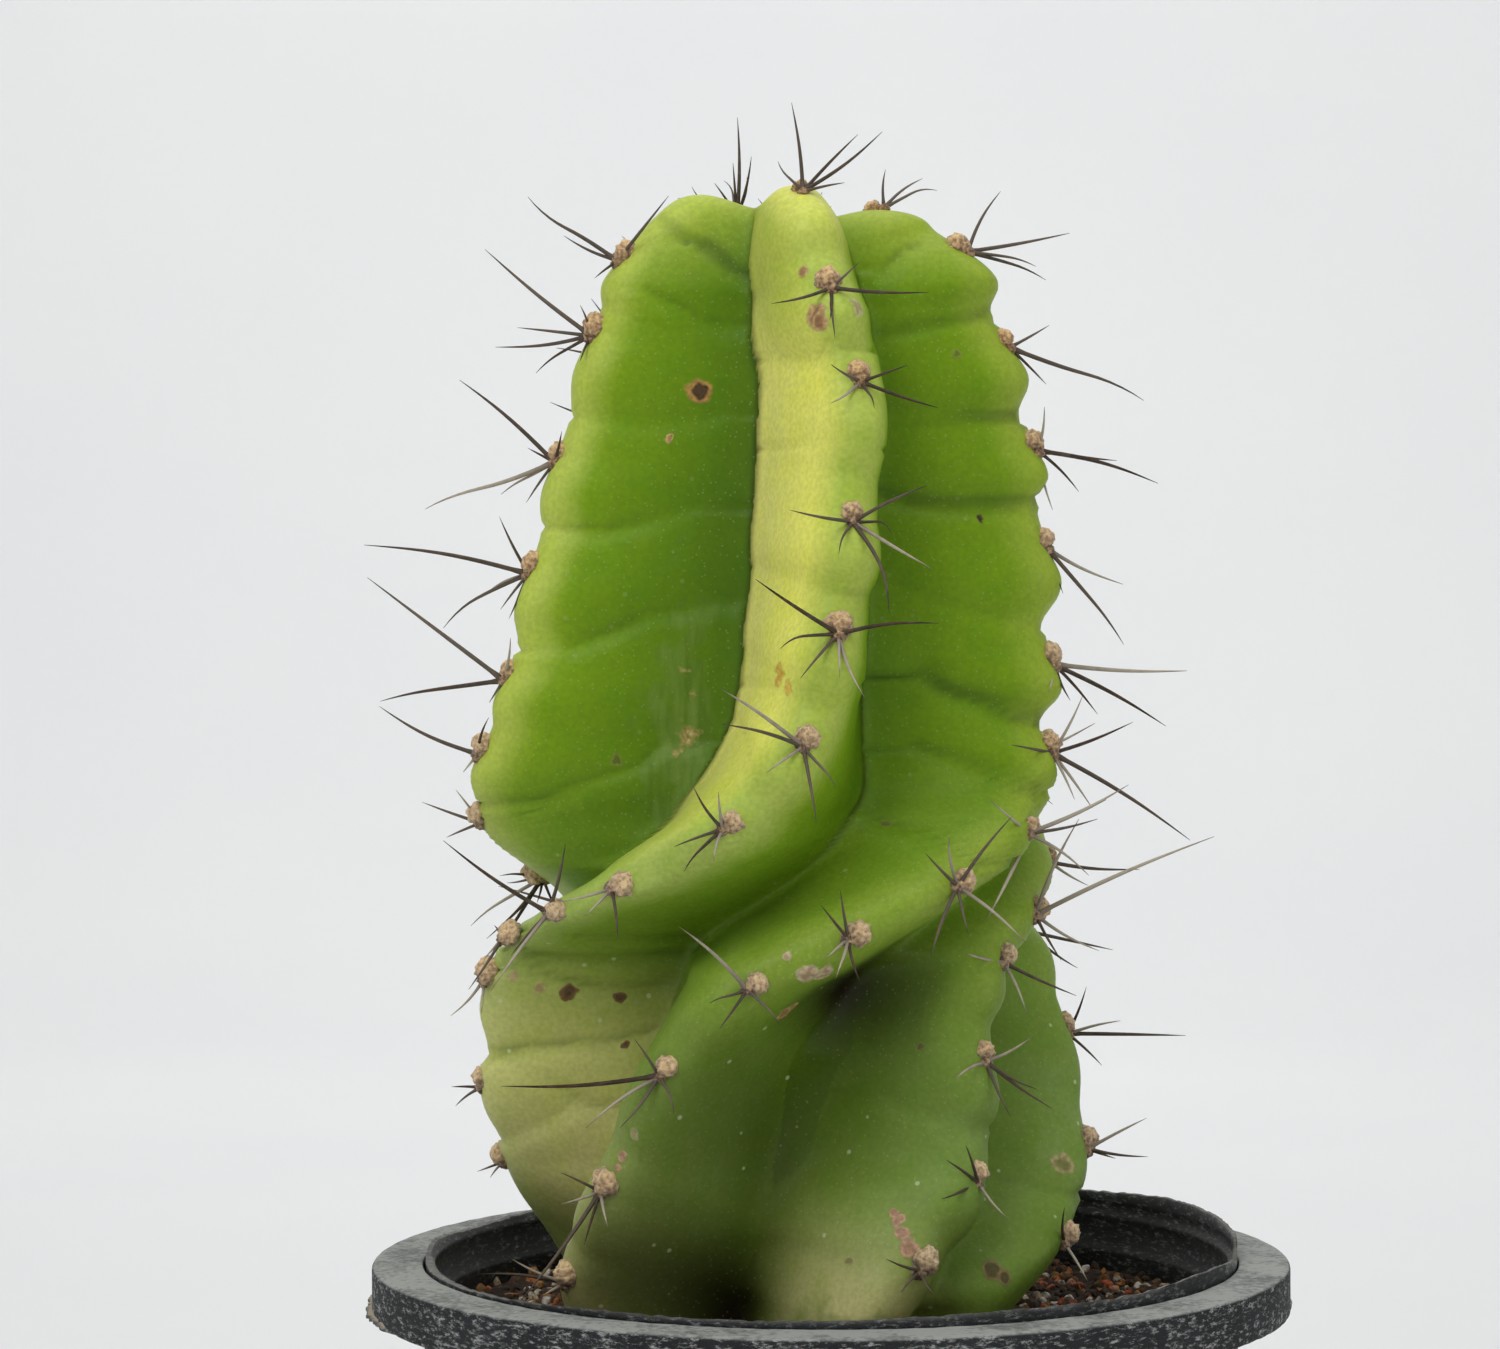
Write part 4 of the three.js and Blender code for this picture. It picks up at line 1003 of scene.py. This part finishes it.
def makePads(places):
    # lumpy domes on the upper side of each areole, with a smaller dark mound where the spines stand
    vertices, faces, top, tone = [], [], [], []
    around, rings = padSizes["around"], padSizes["rings"]
    for name, centre, outward, down, tips, place in places:
        grow = 0.85 + 0.3 * hashShare("pad", name)
        if place > padSizes["young"]:
            grow = grow * padSizes["youngSize"]
        age = np.clip((215 - place) / 120, 0, 1) * 0.6 + 0.4 * hashShare("age", name)
        across = np.cross(outward, down)
        for size, lift, dimming in ((1, padSizes["lift"], 0), (padSizes["mound"], -padSizes["drop"], 0.5)):
            middle = centre - down * lift
            start = len(vertices)
            for ring in range(rings + 1):
                polar = math.radians(padSizes["reach"]) * ring / rings
                for i in range(around if ring else 1):
                    turn = 2 * math.pi * i / around
                    flat = math.sin(polar)
                    sideways = across * math.cos(turn) + down * math.sin(turn)
                    direction = outward * math.cos(polar) + sideways * flat
                    bumpiness = 1
                    for fineness, high in padSizes["lumps"]:
                        bumpiness = bumpiness + high * noise.noise(Vector(direction * fineness + centre))
                    stretch = padSizes["radius"] * direction
                    stretch = stretch + outward * math.cos(polar) * (padSizes["height"] - padSizes["radius"])
                    vertices.append(middle + stretch * grow * size * bumpiness)
                    # painted light and shade on the wool: lighter where it faces out and up, darker towards
                    # its foot
                    upper = 0.55 * math.cos(polar) - 0.45 * flat * math.sin(turn)
                    top.append(np.clip(0.25 + 0.55 * upper - dimming, 0, 1))
                    tone.append(age)
            first = start + 1
            faces += [(start, first + i, first + (i + 1) % around) for i in range(around)]
            for ring in range(rings - 1):
                low = first + ring * around
                for i in range(around):
                    following = (i + 1) % around
                    faces.append((low + i, low + around + i, low + around + following, low + following))
            faces.append(tuple(first + (rings - 1) * around + i for i in range(around)))
    piece = makePiece("pad_cores", vertices, faces, None)
    storeField(piece, "top", top)
    storeField(piece, "tone", tone)
    return piece


def woolTree(material):
    # short hairs stood all over the pads, joined with the pads themselves
    tree, start = startTree(
        "woolHairs", Density=("Float", 1.0), Length=("Float", 1.0), Width=("Float", 1.0), Seed=("Int", 0),
    )
    inputs = start.outputs
    spots = addNode(tree, "GeometryNodeDistributePointsOnFaces", {
        "Mesh": inputs["Geometry"], "Density": inputs["Density"], "Seed": inputs["Seed"],
    })
    hair = addNode(tree, "GeometryNodeMeshCone", {
        "Vertices": 3, "Radius Top": 0.0, "Radius Bottom": inputs["Width"], "Depth": inputs["Length"],
    }, fill_type="NONE")
    lean = addNode(tree, "FunctionNodeRandomValue", {0: (-0.55, -0.55, 0.0), 1: (0.55, 0.55, 6.28)},
                   data_type="FLOAT_VECTOR")
    turned = addNode(tree, "FunctionNodeRotateRotation", {
        "Rotation": spots.outputs["Rotation"],
        "Rotate By": addNode(tree, "FunctionNodeEulerToRotation", {0: lean.outputs[0]}).outputs[0],
    }, rotation_space="LOCAL")
    long = addNode(tree, "FunctionNodeRandomValue", {2: 0.5, 3: 1.15}, data_type="FLOAT")
    stood = addNode(tree, "GeometryNodeInstanceOnPoints", {
        "Points": spots.outputs["Points"], "Instance": hair.outputs["Mesh"],
        "Rotation": turned.outputs[0], "Scale": long.outputs[1],
    })
    joined = addNode(tree, "GeometryNodeJoinGeometry")
    tree.links.new(inputs["Geometry"], joined.inputs[0])
    tree.links.new(stood.outputs[0], joined.inputs[0])
    endTree(tree, joined.outputs[0], material)
    return tree


def spineLines(places):
    # one polyline for each spine, with its thickness, tone and share of its length at each point
    vertices, edges, thickness, tone, reach = [], [], [], [], []
    sizes = spineSizes
    count = sizes["points"]
    for name, centre, outward, down, tips, place in places:
        for index, tip in enumerate(tips):
            offset = np.array(tip[:3], float)
            bend = tip[3] if len(tip) > 3 else 0
            way = offset / np.linalg.norm(offset)
            foot = centre + down * 1.5 + outward * 0.3 + way * 0.5
            end = centre + offset
            length = np.linalg.norm(end - foot)
            # a bend pulls the last third down, square to the spine
            fall = np.array([0, 0, -1.0])
            fall = fall - way * (fall @ way)
            fall = fall / max(np.linalg.norm(fall), 0.2)
            draw = random.Random(f"{name}-{index}")
            bow = np.array([draw.uniform(-1, 1) for axis in range(3)])
            bow = (bow - way * (bow @ way)) * sizes["bow"] * length
            aim = end - fall * bend
            base = np.clip(sizes["thinnest"] + sizes["perLength"] * length, 0, sizes["thickest"])
            bleached = draw.random()
            if place >= sizes["oldBelow"]:
                bleached = 0.35 * bleached
            else:
                bleached = 0.95 if bleached > sizes["bleached"] else 0.4 * bleached
            start = len(vertices)
            for i in range(count):
                t = i / (count - 1)
                point = foot + (aim - foot) * t + bow * math.sin(math.pi * t)
                point = point + fall * bend * max(0, (t - sizes["bendFrom"]) / sizes["bendRun"]) ** 2
                bulb = 1 + sizes["bulb"] * math.exp(-((t * length / sizes["bulbLength"]) ** 2))
                vertices.append(point)
                thickness.append(base * bulb * (1 - 0.9 * t**2.1) * millimetre)
                tone.append(bleached)
                reach.append(t)
            edges += [(start + i, start + i + 1) for i in range(count - 1)]
    mesh = bpy.data.meshes.new("spine_lines")
    mesh.from_pydata((np.array(vertices) * millimetre).tolist(), edges, [])
    piece = bpy.data.objects.new("spine_lines", mesh)
    bpy.context.scene.collection.objects.link(piece)
    for key, values in (("thickness", thickness), ("tone", tone), ("reach", reach)):
        storeField(piece, key, values)
    return piece


def spineTree(material):
    # sweeps a round section along each line, as thick as the line says
    tree, start = startTree("sweptSpines", Sides=("Int", 6), Thickness=("Float", 1.0))
    curves = addNode(tree, "GeometryNodeMeshToCurve", {0: start.outputs["Geometry"]})
    stored = addNode(tree, "GeometryNodeInputNamedAttribute", {0: "thickness"}, data_type="FLOAT")
    thicker = {0: stored.outputs[0], 1: start.outputs["Thickness"]}
    scaled = addNode(tree, "ShaderNodeMath", thicker, operation="MULTIPLY")
    outline = {"Resolution": start.outputs["Sides"], "Radius": 1.0}
    section = addNode(tree, "GeometryNodeCurvePrimitiveCircle", outline)
    swept = addNode(tree, "GeometryNodeCurveToMesh", {
        0: curves.outputs[0], 1: section.outputs[0], "Scale": scaled.outputs[0], "Fill Caps": True,
    })
    smooth = addNode(tree, "GeometryNodeSetShadeSmooth", {0: swept.outputs[0]})
    endTree(tree, smooth.outputs[0], material)
    return tree


pads = padPlaces()
padPiece = bakeNodes(makePads(pads), woolTree(woollyPad()), "woolly_pads", hairSizes)
spinePiece = bakeNodes(
    spineLines(pads), spineTree(drySpine()), "spines", {"Sides": spineSizes["sides"], "Thickness": 1.0},
)
print("pads", len(pads), "with", len(padPiece.data.polygons), "faces; spines", len(spinePiece.data.polygons))


# ---- pots ----------------------------------------------------------------------------------------

potSizes = {
    "sides": 300, "baseRadius": 73.5, "topRadius": 90.4, "wall": 1.5, "rimRadius": potHigh.y / millimetre,
    "rimDrop": 10, "holeRadius": 6, "holeCircle": 46, "holes": 6,
}


def turnedPot(name, profile, sides, material, shift=None):
    # closed profile of radius and height pairs turned about the axis; shift moves points of a ring
    count = len(profile)
    vertices = []
    for radius, height in profile:
        for i in range(sides):
            azimuth = 360 * i / sides
            angle = math.radians(azimuth)
            r, z = shift(radius, height, azimuth) if shift else (radius, height)
            vertices.append((r * math.sin(angle), -r * math.cos(angle), z))
    faces = skinFaces(count, sides)
    start = len(vertices)
    vertices += [(0, 0, profile[0][1]), (0, 0, profile[-1][1])]
    faces += capFaces(0, sides, start, False)
    faces += capFaces((count - 1) * sides, sides, start + 1, True)
    return makePiece(name, vertices, faces, material)


def roundedCorner(corner, before, after, radius, steps=4):
    # points of a small arc in place of a profile's corner
    corner, before, after = map(np.array, (corner, before, after))
    start = corner + (before - corner) / np.linalg.norm(before - corner) * radius
    end = corner + (after - corner) / np.linalg.norm(after - corner) * radius
    points = []
    for i in range(steps + 1):
        t = i / steps
        points.append(tuple(start * (1 - t) ** 2 + 2 * corner * t * (1 - t) + end * t**2))
    return points


def rounded(profile, radii):
    # the profile with the corners in radii rounded off; the others stay sharp
    points = []
    for i, point in enumerate(profile):
        radius = radii.get(i, 0)
        if radius:
            points += roundedCorner(point, profile[i - 1], profile[(i + 1) % len(profile)], radius)
        else:
            points.append(tuple(point))
    return points


def makeOuterPot():
    s = potSizes
    skirt = s["rimRadius"] - s["wall"]
    lip = rimTop - s["wall"]

    def wallAt(height):
        return s["baseRadius"] + (s["topRadius"] - s["baseRadius"]) * height / rimTop

    profile = [
        (1, 0), (s["baseRadius"], 0), (wallAt(60), 60), (wallAt(120), 120), (wallAt(lip), lip),
        (skirt, lip), (skirt, rimTop - s["rimDrop"]), (s["rimRadius"], rimTop - s["rimDrop"]),
        (s["rimRadius"], rimTop - 5), (s["rimRadius"], rimTop), (s["topRadius"] + 1, rimTop),
        (s["topRadius"] - s["wall"], rimTop), (s["topRadius"] - s["wall"] - 0.5, rimTop - 5),
        (s["baseRadius"] - s["wall"], s["wall"]), (1, s["wall"]),
    ]
    profile = rounded(profile, {1: 2.5, 4: 0.5, 5: 0.6, 7: 0.4, 9: 1.1, 11: 0.5, 13: 1.5})

    def wobble(radius, height, azimuth):
        # thin moulded plastic is never quite round, and the skirt's foot is nicked by handling
        angle = math.radians(azimuth)
        spot = Vector((math.sin(angle), math.cos(angle), 0.3))
        high = max(0, height - 60) / rimTop
        radius = radius + high * 0.35 * noise.noise(spot * 1.3)
        nick = 0.35 * max(0, noise.noise(spot * 45 + Vector((0, 0, 5))))
        if abs(height - (rimTop - s["rimDrop"])) < 0.5 and radius > skirt - 0.5:
            height = height + nick
        if height > rimTop - 0.6:
            height = height - 0.12 * noise.noise(spot * 20)
        return radius, height

    pot = turnedPot("nursery_pot", profile, s["sides"], potPlastic, wobble)
    for i in range(s["holes"]):
        angle = 2 * math.pi * i / s["holes"]
        across = s["holeCircle"] * millimetre
        bpy.ops.mesh.primitive_cylinder_add(
            vertices=32, radius=s["holeRadius"] * millimetre, depth=8 * millimetre,
            location=(across * math.cos(angle), across * math.sin(angle), 0),
        )
        drill = bpy.context.object
        cut = pot.modifiers.new("drainage", "BOOLEAN")
        cut.operation = "DIFFERENCE"
        cut.object = drill
        evaluated = pot.evaluated_get(bpy.context.evaluated_depsgraph_get())
        mesh = bpy.data.meshes.new_from_object(evaluated)
        pot.modifiers.remove(cut)
        pot.data = mesh
        bpy.data.objects.remove(drill)
    return pot


# Torn moulding flash under the skirt: the azimuths where a strip starts and ends, and how far it stands
# out. A long one is on the left and two short ones on the right.
flashRuns = [(-117, -68, 2.2), (84, 97, 1.1), (118, 131, 1.4)]


def makeBurr():
    s = potSizes
    vertices, faces = [], []
    foot = rimTop - s["rimDrop"]
    for start, end, reach in flashRuns:
        steps = int((end - start) * 3)
        first = len(vertices)
        for i in range(steps + 1):
            azimuth = start + (end - start) * i / steps
            angle = math.radians(azimuth)
            taper = math.sin(math.pi * i / steps) ** 0.4
            ragged = 0.62 + 0.55 * noise.noise(Vector((azimuth * 0.7, reach, 0)))
            ragged = ragged + 0.3 * noise.noise(Vector((azimuth * 2.7, 2, 0)))
            out = s["rimRadius"] - 0.8 + (0.8 + reach * max(0.1, ragged)) * taper
            droop = 0.5 * noise.noise(Vector((azimuth * 0.5, 7, 0))) - 0.3
            for radius, height in (
                (s["rimRadius"] - 1, foot + 0.1), (out, foot + 0.1 + droop), (out, foot + 0.8 + droop),
                (s["rimRadius"] - 1, foot + 1.5),
            ):
                vertices.append((radius * math.sin(angle), -radius * math.cos(angle), height))
        for i in range(steps):
            low = first + 4 * i
            for side in range(4):
                following = (side + 1) % 4
                faces.append((low + side, low + 4 + side, low + 4 + following, low + following))
        faces.append((first, first + 1, first + 2, first + 3))
        last = first + 4 * steps
        faces.append((last + 3, last + 2, last + 1, last))
    return makePiece("torn_flash", vertices, faces, flashPlastic)


linerSizes = {
    "sides": 480, "clearance": 0.5, "wall": 1.0, "baseRadius": 66, "ledge": 1.0, "ledges": [0.6, -7.4],
    "rough": 0.3,
}
# The cut edge: azimuth and height above the rim, in falling order of azimuth.
cutEdge = [
    [180, 4], [150, 4.6], [135, 5.4], [118, 6.5], [104, 6.2], [92, 5.2], [85.5, 4.7], [83.5, 1.6],
    [81, 0.8], [77, 1.6], [74, 2.6], [61, 3.4], [42, 2.4], [22, 2.4], [6, 1.8], [-17, 1.3], [-35, 1.4],
    [-50, 0.6], [-75, 0.5], [-86, 1.2], [-96, 2.6], [-114, 1.4], [-130, 2.3], [-150, 3], [-180, 4],
]


def makeInnerPot():
    s = linerSizes
    outside = potSizes["topRadius"] - potSizes["wall"] - s["clearance"]
    inside = outside - s["wall"]
    floor = linerLow.z / millimetre
    below = inside - len(s["ledges"]) * s["ledge"]
    profile = [
        (1, floor), (s["baseRadius"], floor), (outside - 1, rimTop - 10), (outside, rimTop),
        (outside, rimTop + 3), (outside, rimTop + 9), (inside, rimTop + 9), (inside, rimTop + 3),
        (inside, rimTop + s["ledges"][0] + 0.5), (inside - 1, rimTop + s["ledges"][0]),
        (inside - 1, rimTop + s["ledges"][0] - 1), (inside - 1, rimTop + s["ledges"][1] + 0.5),
        (below, rimTop + s["ledges"][1]), (below, rimTop + s["ledges"][1] - 1),
        (s["baseRadius"] - s["wall"], floor + s["wall"]), (1, floor + s["wall"]),
    ]

    def trim(radius, height, azimuth):
        # everything above the ragged cut is pulled down to it
        turn = azimuth if azimuth <= 180 else azimuth - 360
        angle = math.radians(azimuth)
        spot = Vector((math.sin(angle), math.cos(angle), 0))
        edge = along(cutEdge, turn)[0] + s["rough"] * noise.noise(spot * 38)
        edge = edge + 0.22 * noise.noise(spot * 120)
        if radius < outside - 0.5:
            edge = edge - 0.2
        if height > rimTop - 1:
            height = min(height, rimTop + edge)
        radius = radius + 0.25 * noise.noise(spot * 2.1) * max(0, height - 100) / 80
        return radius, height

    return turnedPot("cut_pot", profile, s["sides"], linerPlastic, trim)


potPlastic = dustyPolypropylene("dusty black polypropylene", "#1d1f21", "#9a9c98", 0.55, 0.58)
linerPlastic = dustyPolypropylene("thin black polypropylene", "#131415", "#8e8b82", 0.22, 0.3)
flashPlastic = dustyPolypropylene("chalky torn polypropylene", "#5d5a52", "#a59a84", 0.75, 0.6)
outerPiece = makeOuterPot()
burrPiece = makeBurr()
innerPiece = makeInnerPot()
print("pots", len(outerPiece.data.polygons), len(innerPiece.data.polygons))


# ---- soil and grit -------------------------------------------------------------------------------

soilSizes = {
    "rings": 46, "around": 220, "crumb": 0.9, "bank": 1.6,
    "lumps": ((9, 0, 0.9), (3.2, 3, 0.7), (1.4, 8, 0.45)),    # how wide, which draw and how high
    "underStem": 44,        # no grit lies nearer than this to the stem's axis
}
gritSizes = {"Spacing": 0.0019, "Density": 150000.0, "Grain": 0.0016, "Seed": 11}


def makeSoil():
    s = soilSizes
    radius = soilHigh.x / millimetre
    bottom = soilLow.z / millimetre
    bottomRadius = linerSizes["baseRadius"] - linerSizes["wall"] - 0.4
    stemCentre = np.array([stemSizes["offset"], 0])
    vertices, free = [], []
    for ring in range(s["rings"]):
        share = (ring + 1) / s["rings"]
        for i in range(s["around"]):
            angle = 2 * math.pi * i / s["around"]
            x, y = radius * share * math.sin(angle), -radius * share * math.cos(angle)
            fromStem = math.hypot(x - stemCentre[0], y - stemCentre[1])
            lump = sum(high * noise.noise(Vector((x, y, z)) / wide) for wide, z, high in s["lumps"])
            bank = s["bank"] * max(0, share - 0.86) / 0.14
            drop = 1 if ring == s["rings"] - 1 else 0
            vertices.append((x, y, soilTop + lump * s["crumb"] + bank - drop * 0.6))
            free.append(1.0 if fromStem > s["underStem"] and ring < s["rings"] - 1 else 0.0)
    faces = skinFaces(s["rings"], s["around"])
    faces = [tuple(reversed(face)) for face in faces]
    start = len(vertices)
    for i in range(s["around"]):
        angle = 2 * math.pi * i / s["around"]
        vertices.append((bottomRadius * math.sin(angle), -bottomRadius * math.cos(angle), bottom))
        free.append(0.0)
    outer = (s["rings"] - 1) * s["around"]
    for i in range(s["around"]):
        following = (i + 1) % s["around"]
        faces.append((start + i, start + following, outer + following, outer + i))
    vertices += [(0, 0, soilTop + 0.5), (0, 0, bottom)]
    free += [0.0, 0.0]
    faces += capFaces(0, s["around"], start + s["around"], True)
    faces += capFaces(start, s["around"], start + s["around"] + 1, False)
    piece = makePiece("potting_soil", vertices, faces, compost)
    storeField(piece, "free", free)
    return piece


def gritTree(material):
    # grains scattered on the open soil, each turned, squashed and coloured on its own
    tree, start = startTree(
        "scatteredGrit",
        Spacing=("Float", 1.0), Density=("Float", 1.0), Grain=("Float", 1.0), Seed=("Int", 0),
    )
    inputs = start.outputs
    free = addNode(tree, "GeometryNodeInputNamedAttribute", {0: "free"}, data_type="FLOAT")
    spots = addNode(tree, "GeometryNodeDistributePointsOnFaces", {
        "Mesh": inputs["Geometry"], "Selection": free.outputs[0], "Distance Min": inputs["Spacing"],
        "Density Max": inputs["Density"], "Seed": inputs["Seed"],
    }, distribute_method="POISSON")
    pebble = addNode(tree, "GeometryNodeMeshIcoSphere", {"Radius": inputs["Grain"], "Subdivisions": 2})
    rough = addNode(tree, "ShaderNodeTexNoise", {"Scale": 620.0, "Detail": 1.0})
    centred = {0: rough.outputs["Color"], 1: (0.5, 0.5, 0.5)}
    push = addNode(tree, "ShaderNodeVectorMath", centred, operation="SUBTRACT")
    sized = {0: push.outputs[0], "Scale": inputs["Grain"]}
    less = addNode(tree, "ShaderNodeVectorMath", sized, operation="SCALE")
    broken = addNode(tree, "GeometryNodeSetPosition", {0: pebble.outputs[0], "Offset": less.outputs[0]})
    turn, size = [
        addNode(tree, "FunctionNodeRandomValue", {0: least, 1: most, "Seed": seed}, data_type="FLOAT_VECTOR")
        for least, most, seed in (((0, 0, 0), (6.28, 6.28, 6.28), 0), ((0.45, 0.4, 0.3), (1.25, 1.0, 0.8), 3))
    ]
    stood = addNode(tree, "GeometryNodeInstanceOnPoints", {
        "Points": spots.outputs["Points"], "Instance": broken.outputs[0], "Rotation": turn.outputs[0],
        "Scale": size.outputs[0],
    })
    pick = addNode(tree, "FunctionNodeRandomValue", {2: 0.0, 3: 1.0, "Seed": 9}, data_type="FLOAT")
    toned = addNode(tree, "GeometryNodeStoreNamedAttribute", {
        0: stood.outputs[0], "Name": "tone", "Value": pick.outputs[1],
    }, domain="INSTANCE", data_type="FLOAT")
    endTree(tree, toned.outputs[0], material)
    return tree


compost = pottingSoil()
soilPiece = makeSoil()
soilCopy = bpy.data.objects.new("soil_copy", soilPiece.data.copy())
bpy.context.scene.collection.objects.link(soilCopy)
gritPiece = bakeNodes(soilCopy, gritTree(crushedGrit()), "grit", gritSizes)
print("grit", len(gritPiece.data.polygons), "faces")


# ---- stage, camera and light ---------------------------------------------------------------------

stageSizes = {"radius": 3.2, "bend": 0.9, "height": 3.2, "steps": 16, "sides": 96}


def makeStage():
    # round floor that bends up into a wall all the way round, so that every side has the same backdrop
    s = stageSizes
    flat = s["radius"] - s["bend"]
    line = [(flat, 0.0)]
    for i in range(1, s["steps"] + 1):
        angle = math.pi / 2 * i / s["steps"]
        line.append((flat + s["bend"] * math.sin(angle), s["bend"] * (1 - math.cos(angle))))
    line.append((s["radius"], s["height"]))
    vertices = [(0, 0, 0)]
    for radius, height in line:
        for i in range(s["sides"]):
            angle = 2 * math.pi * i / s["sides"]
            vertices.append((radius * math.cos(angle), radius * math.sin(angle), height))
    faces = [(0, 1 + i, 1 + (i + 1) % s["sides"]) for i in range(s["sides"])]
    for row in range(len(line) - 1):
        low = 1 + row * s["sides"]
        high = low + s["sides"]
        for i in range(s["sides"]):
            following = (i + 1) % s["sides"]
            faces.append((low + i, high + i, high + following, low + following))
    return makePiece("backdrop", np.array(vertices) / millimetre, faces, paintedBackdrop())


cameraSizes = {
    "across": -0.01712, "back": -0.8866, "aboveRim": 0.14309, "pitchDown": 1.0, "roll": 0.003819,
    "lens": 97.4, "sensor": 36,
}
lightSizes = {
    "key": {"place": (-0.75, -1.0, 1.35), "aim": (0, 0, 0.3), "size": 1.1, "power": 9.8},
    "overhead": {"place": (0.05, -0.1, 1.7), "aim": (0, 0, 0.3), "size": 1.6, "power": 9.5},
    "fill": {"place": (1.3, -1.1, 0.5), "aim": (0, 0, 0.3), "size": 1.2, "power": 4.0},
    "wall": {"place": (0.0, 1.7, 2.1), "aim": (0, 3.0, 0.4), "size": 1.8, "power": 22.0},
}
roomLight = {"tone": "#f2f2f1", "power": 0.34}


def makeCamera():
    s = cameraSizes
    data = bpy.data.cameras.new("view")
    data.lens = s["lens"]
    data.sensor_width = s["sensor"]
    camera = bpy.data.objects.new("view", data)
    camera.location = (s["across"], s["back"], potHigh.z + s["aboveRim"])
    camera.rotation_euler = (math.radians(90 - s["pitchDown"]), s["roll"], 0)
    bpy.context.scene.collection.objects.link(camera)
    bpy.context.scene.camera = camera


def makeLights():
    for name, s in lightSizes.items():
        data = bpy.data.lights.new(name, "AREA")
        data.shape = "DISK"
        data.size = s["size"]
        data.energy = s["power"]
        light = bpy.data.objects.new(name, data)
        light.location = s["place"]
        light.rotation_euler = (Vector(s["aim"]) - light.location).to_track_quat("-Z", "Y").to_euler()
        bpy.context.scene.collection.objects.link(light)
    world = bpy.data.worlds.new("studio")
    world.use_nodes = True
    background = world.node_tree.nodes["Background"]
    background.inputs[0].default_value = colour(roomLight["tone"])
    background.inputs[1].default_value = roomLight["power"]
    bpy.context.scene.world = world


floor = makeStage()
makeCamera()
makeLights()
bpy.context.scene.view_settings.view_transform = "Standard"
print("stage ready")

spineNodes = ["crown_tuft"] + sorted(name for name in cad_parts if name.startswith("spines_"))
for piece, slotName, nodes in (
    (stemPiece, "stem_skin", ["stem"]),
    (padPiece, "spine", spineNodes),
    (spinePiece, "spine", spineNodes),
    (outerPiece, "outer_plastic", ["outer_pot"]),
    (burrPiece, "outer_plastic", ["outer_pot"]),
    (innerPiece, "inner_plastic", ["inner_pot"]),
    (soilPiece, "soil", ["soil"]),
    (gritPiece, "soil", ["soil"]),
):
    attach(piece, "root")
    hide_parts(*nodes)
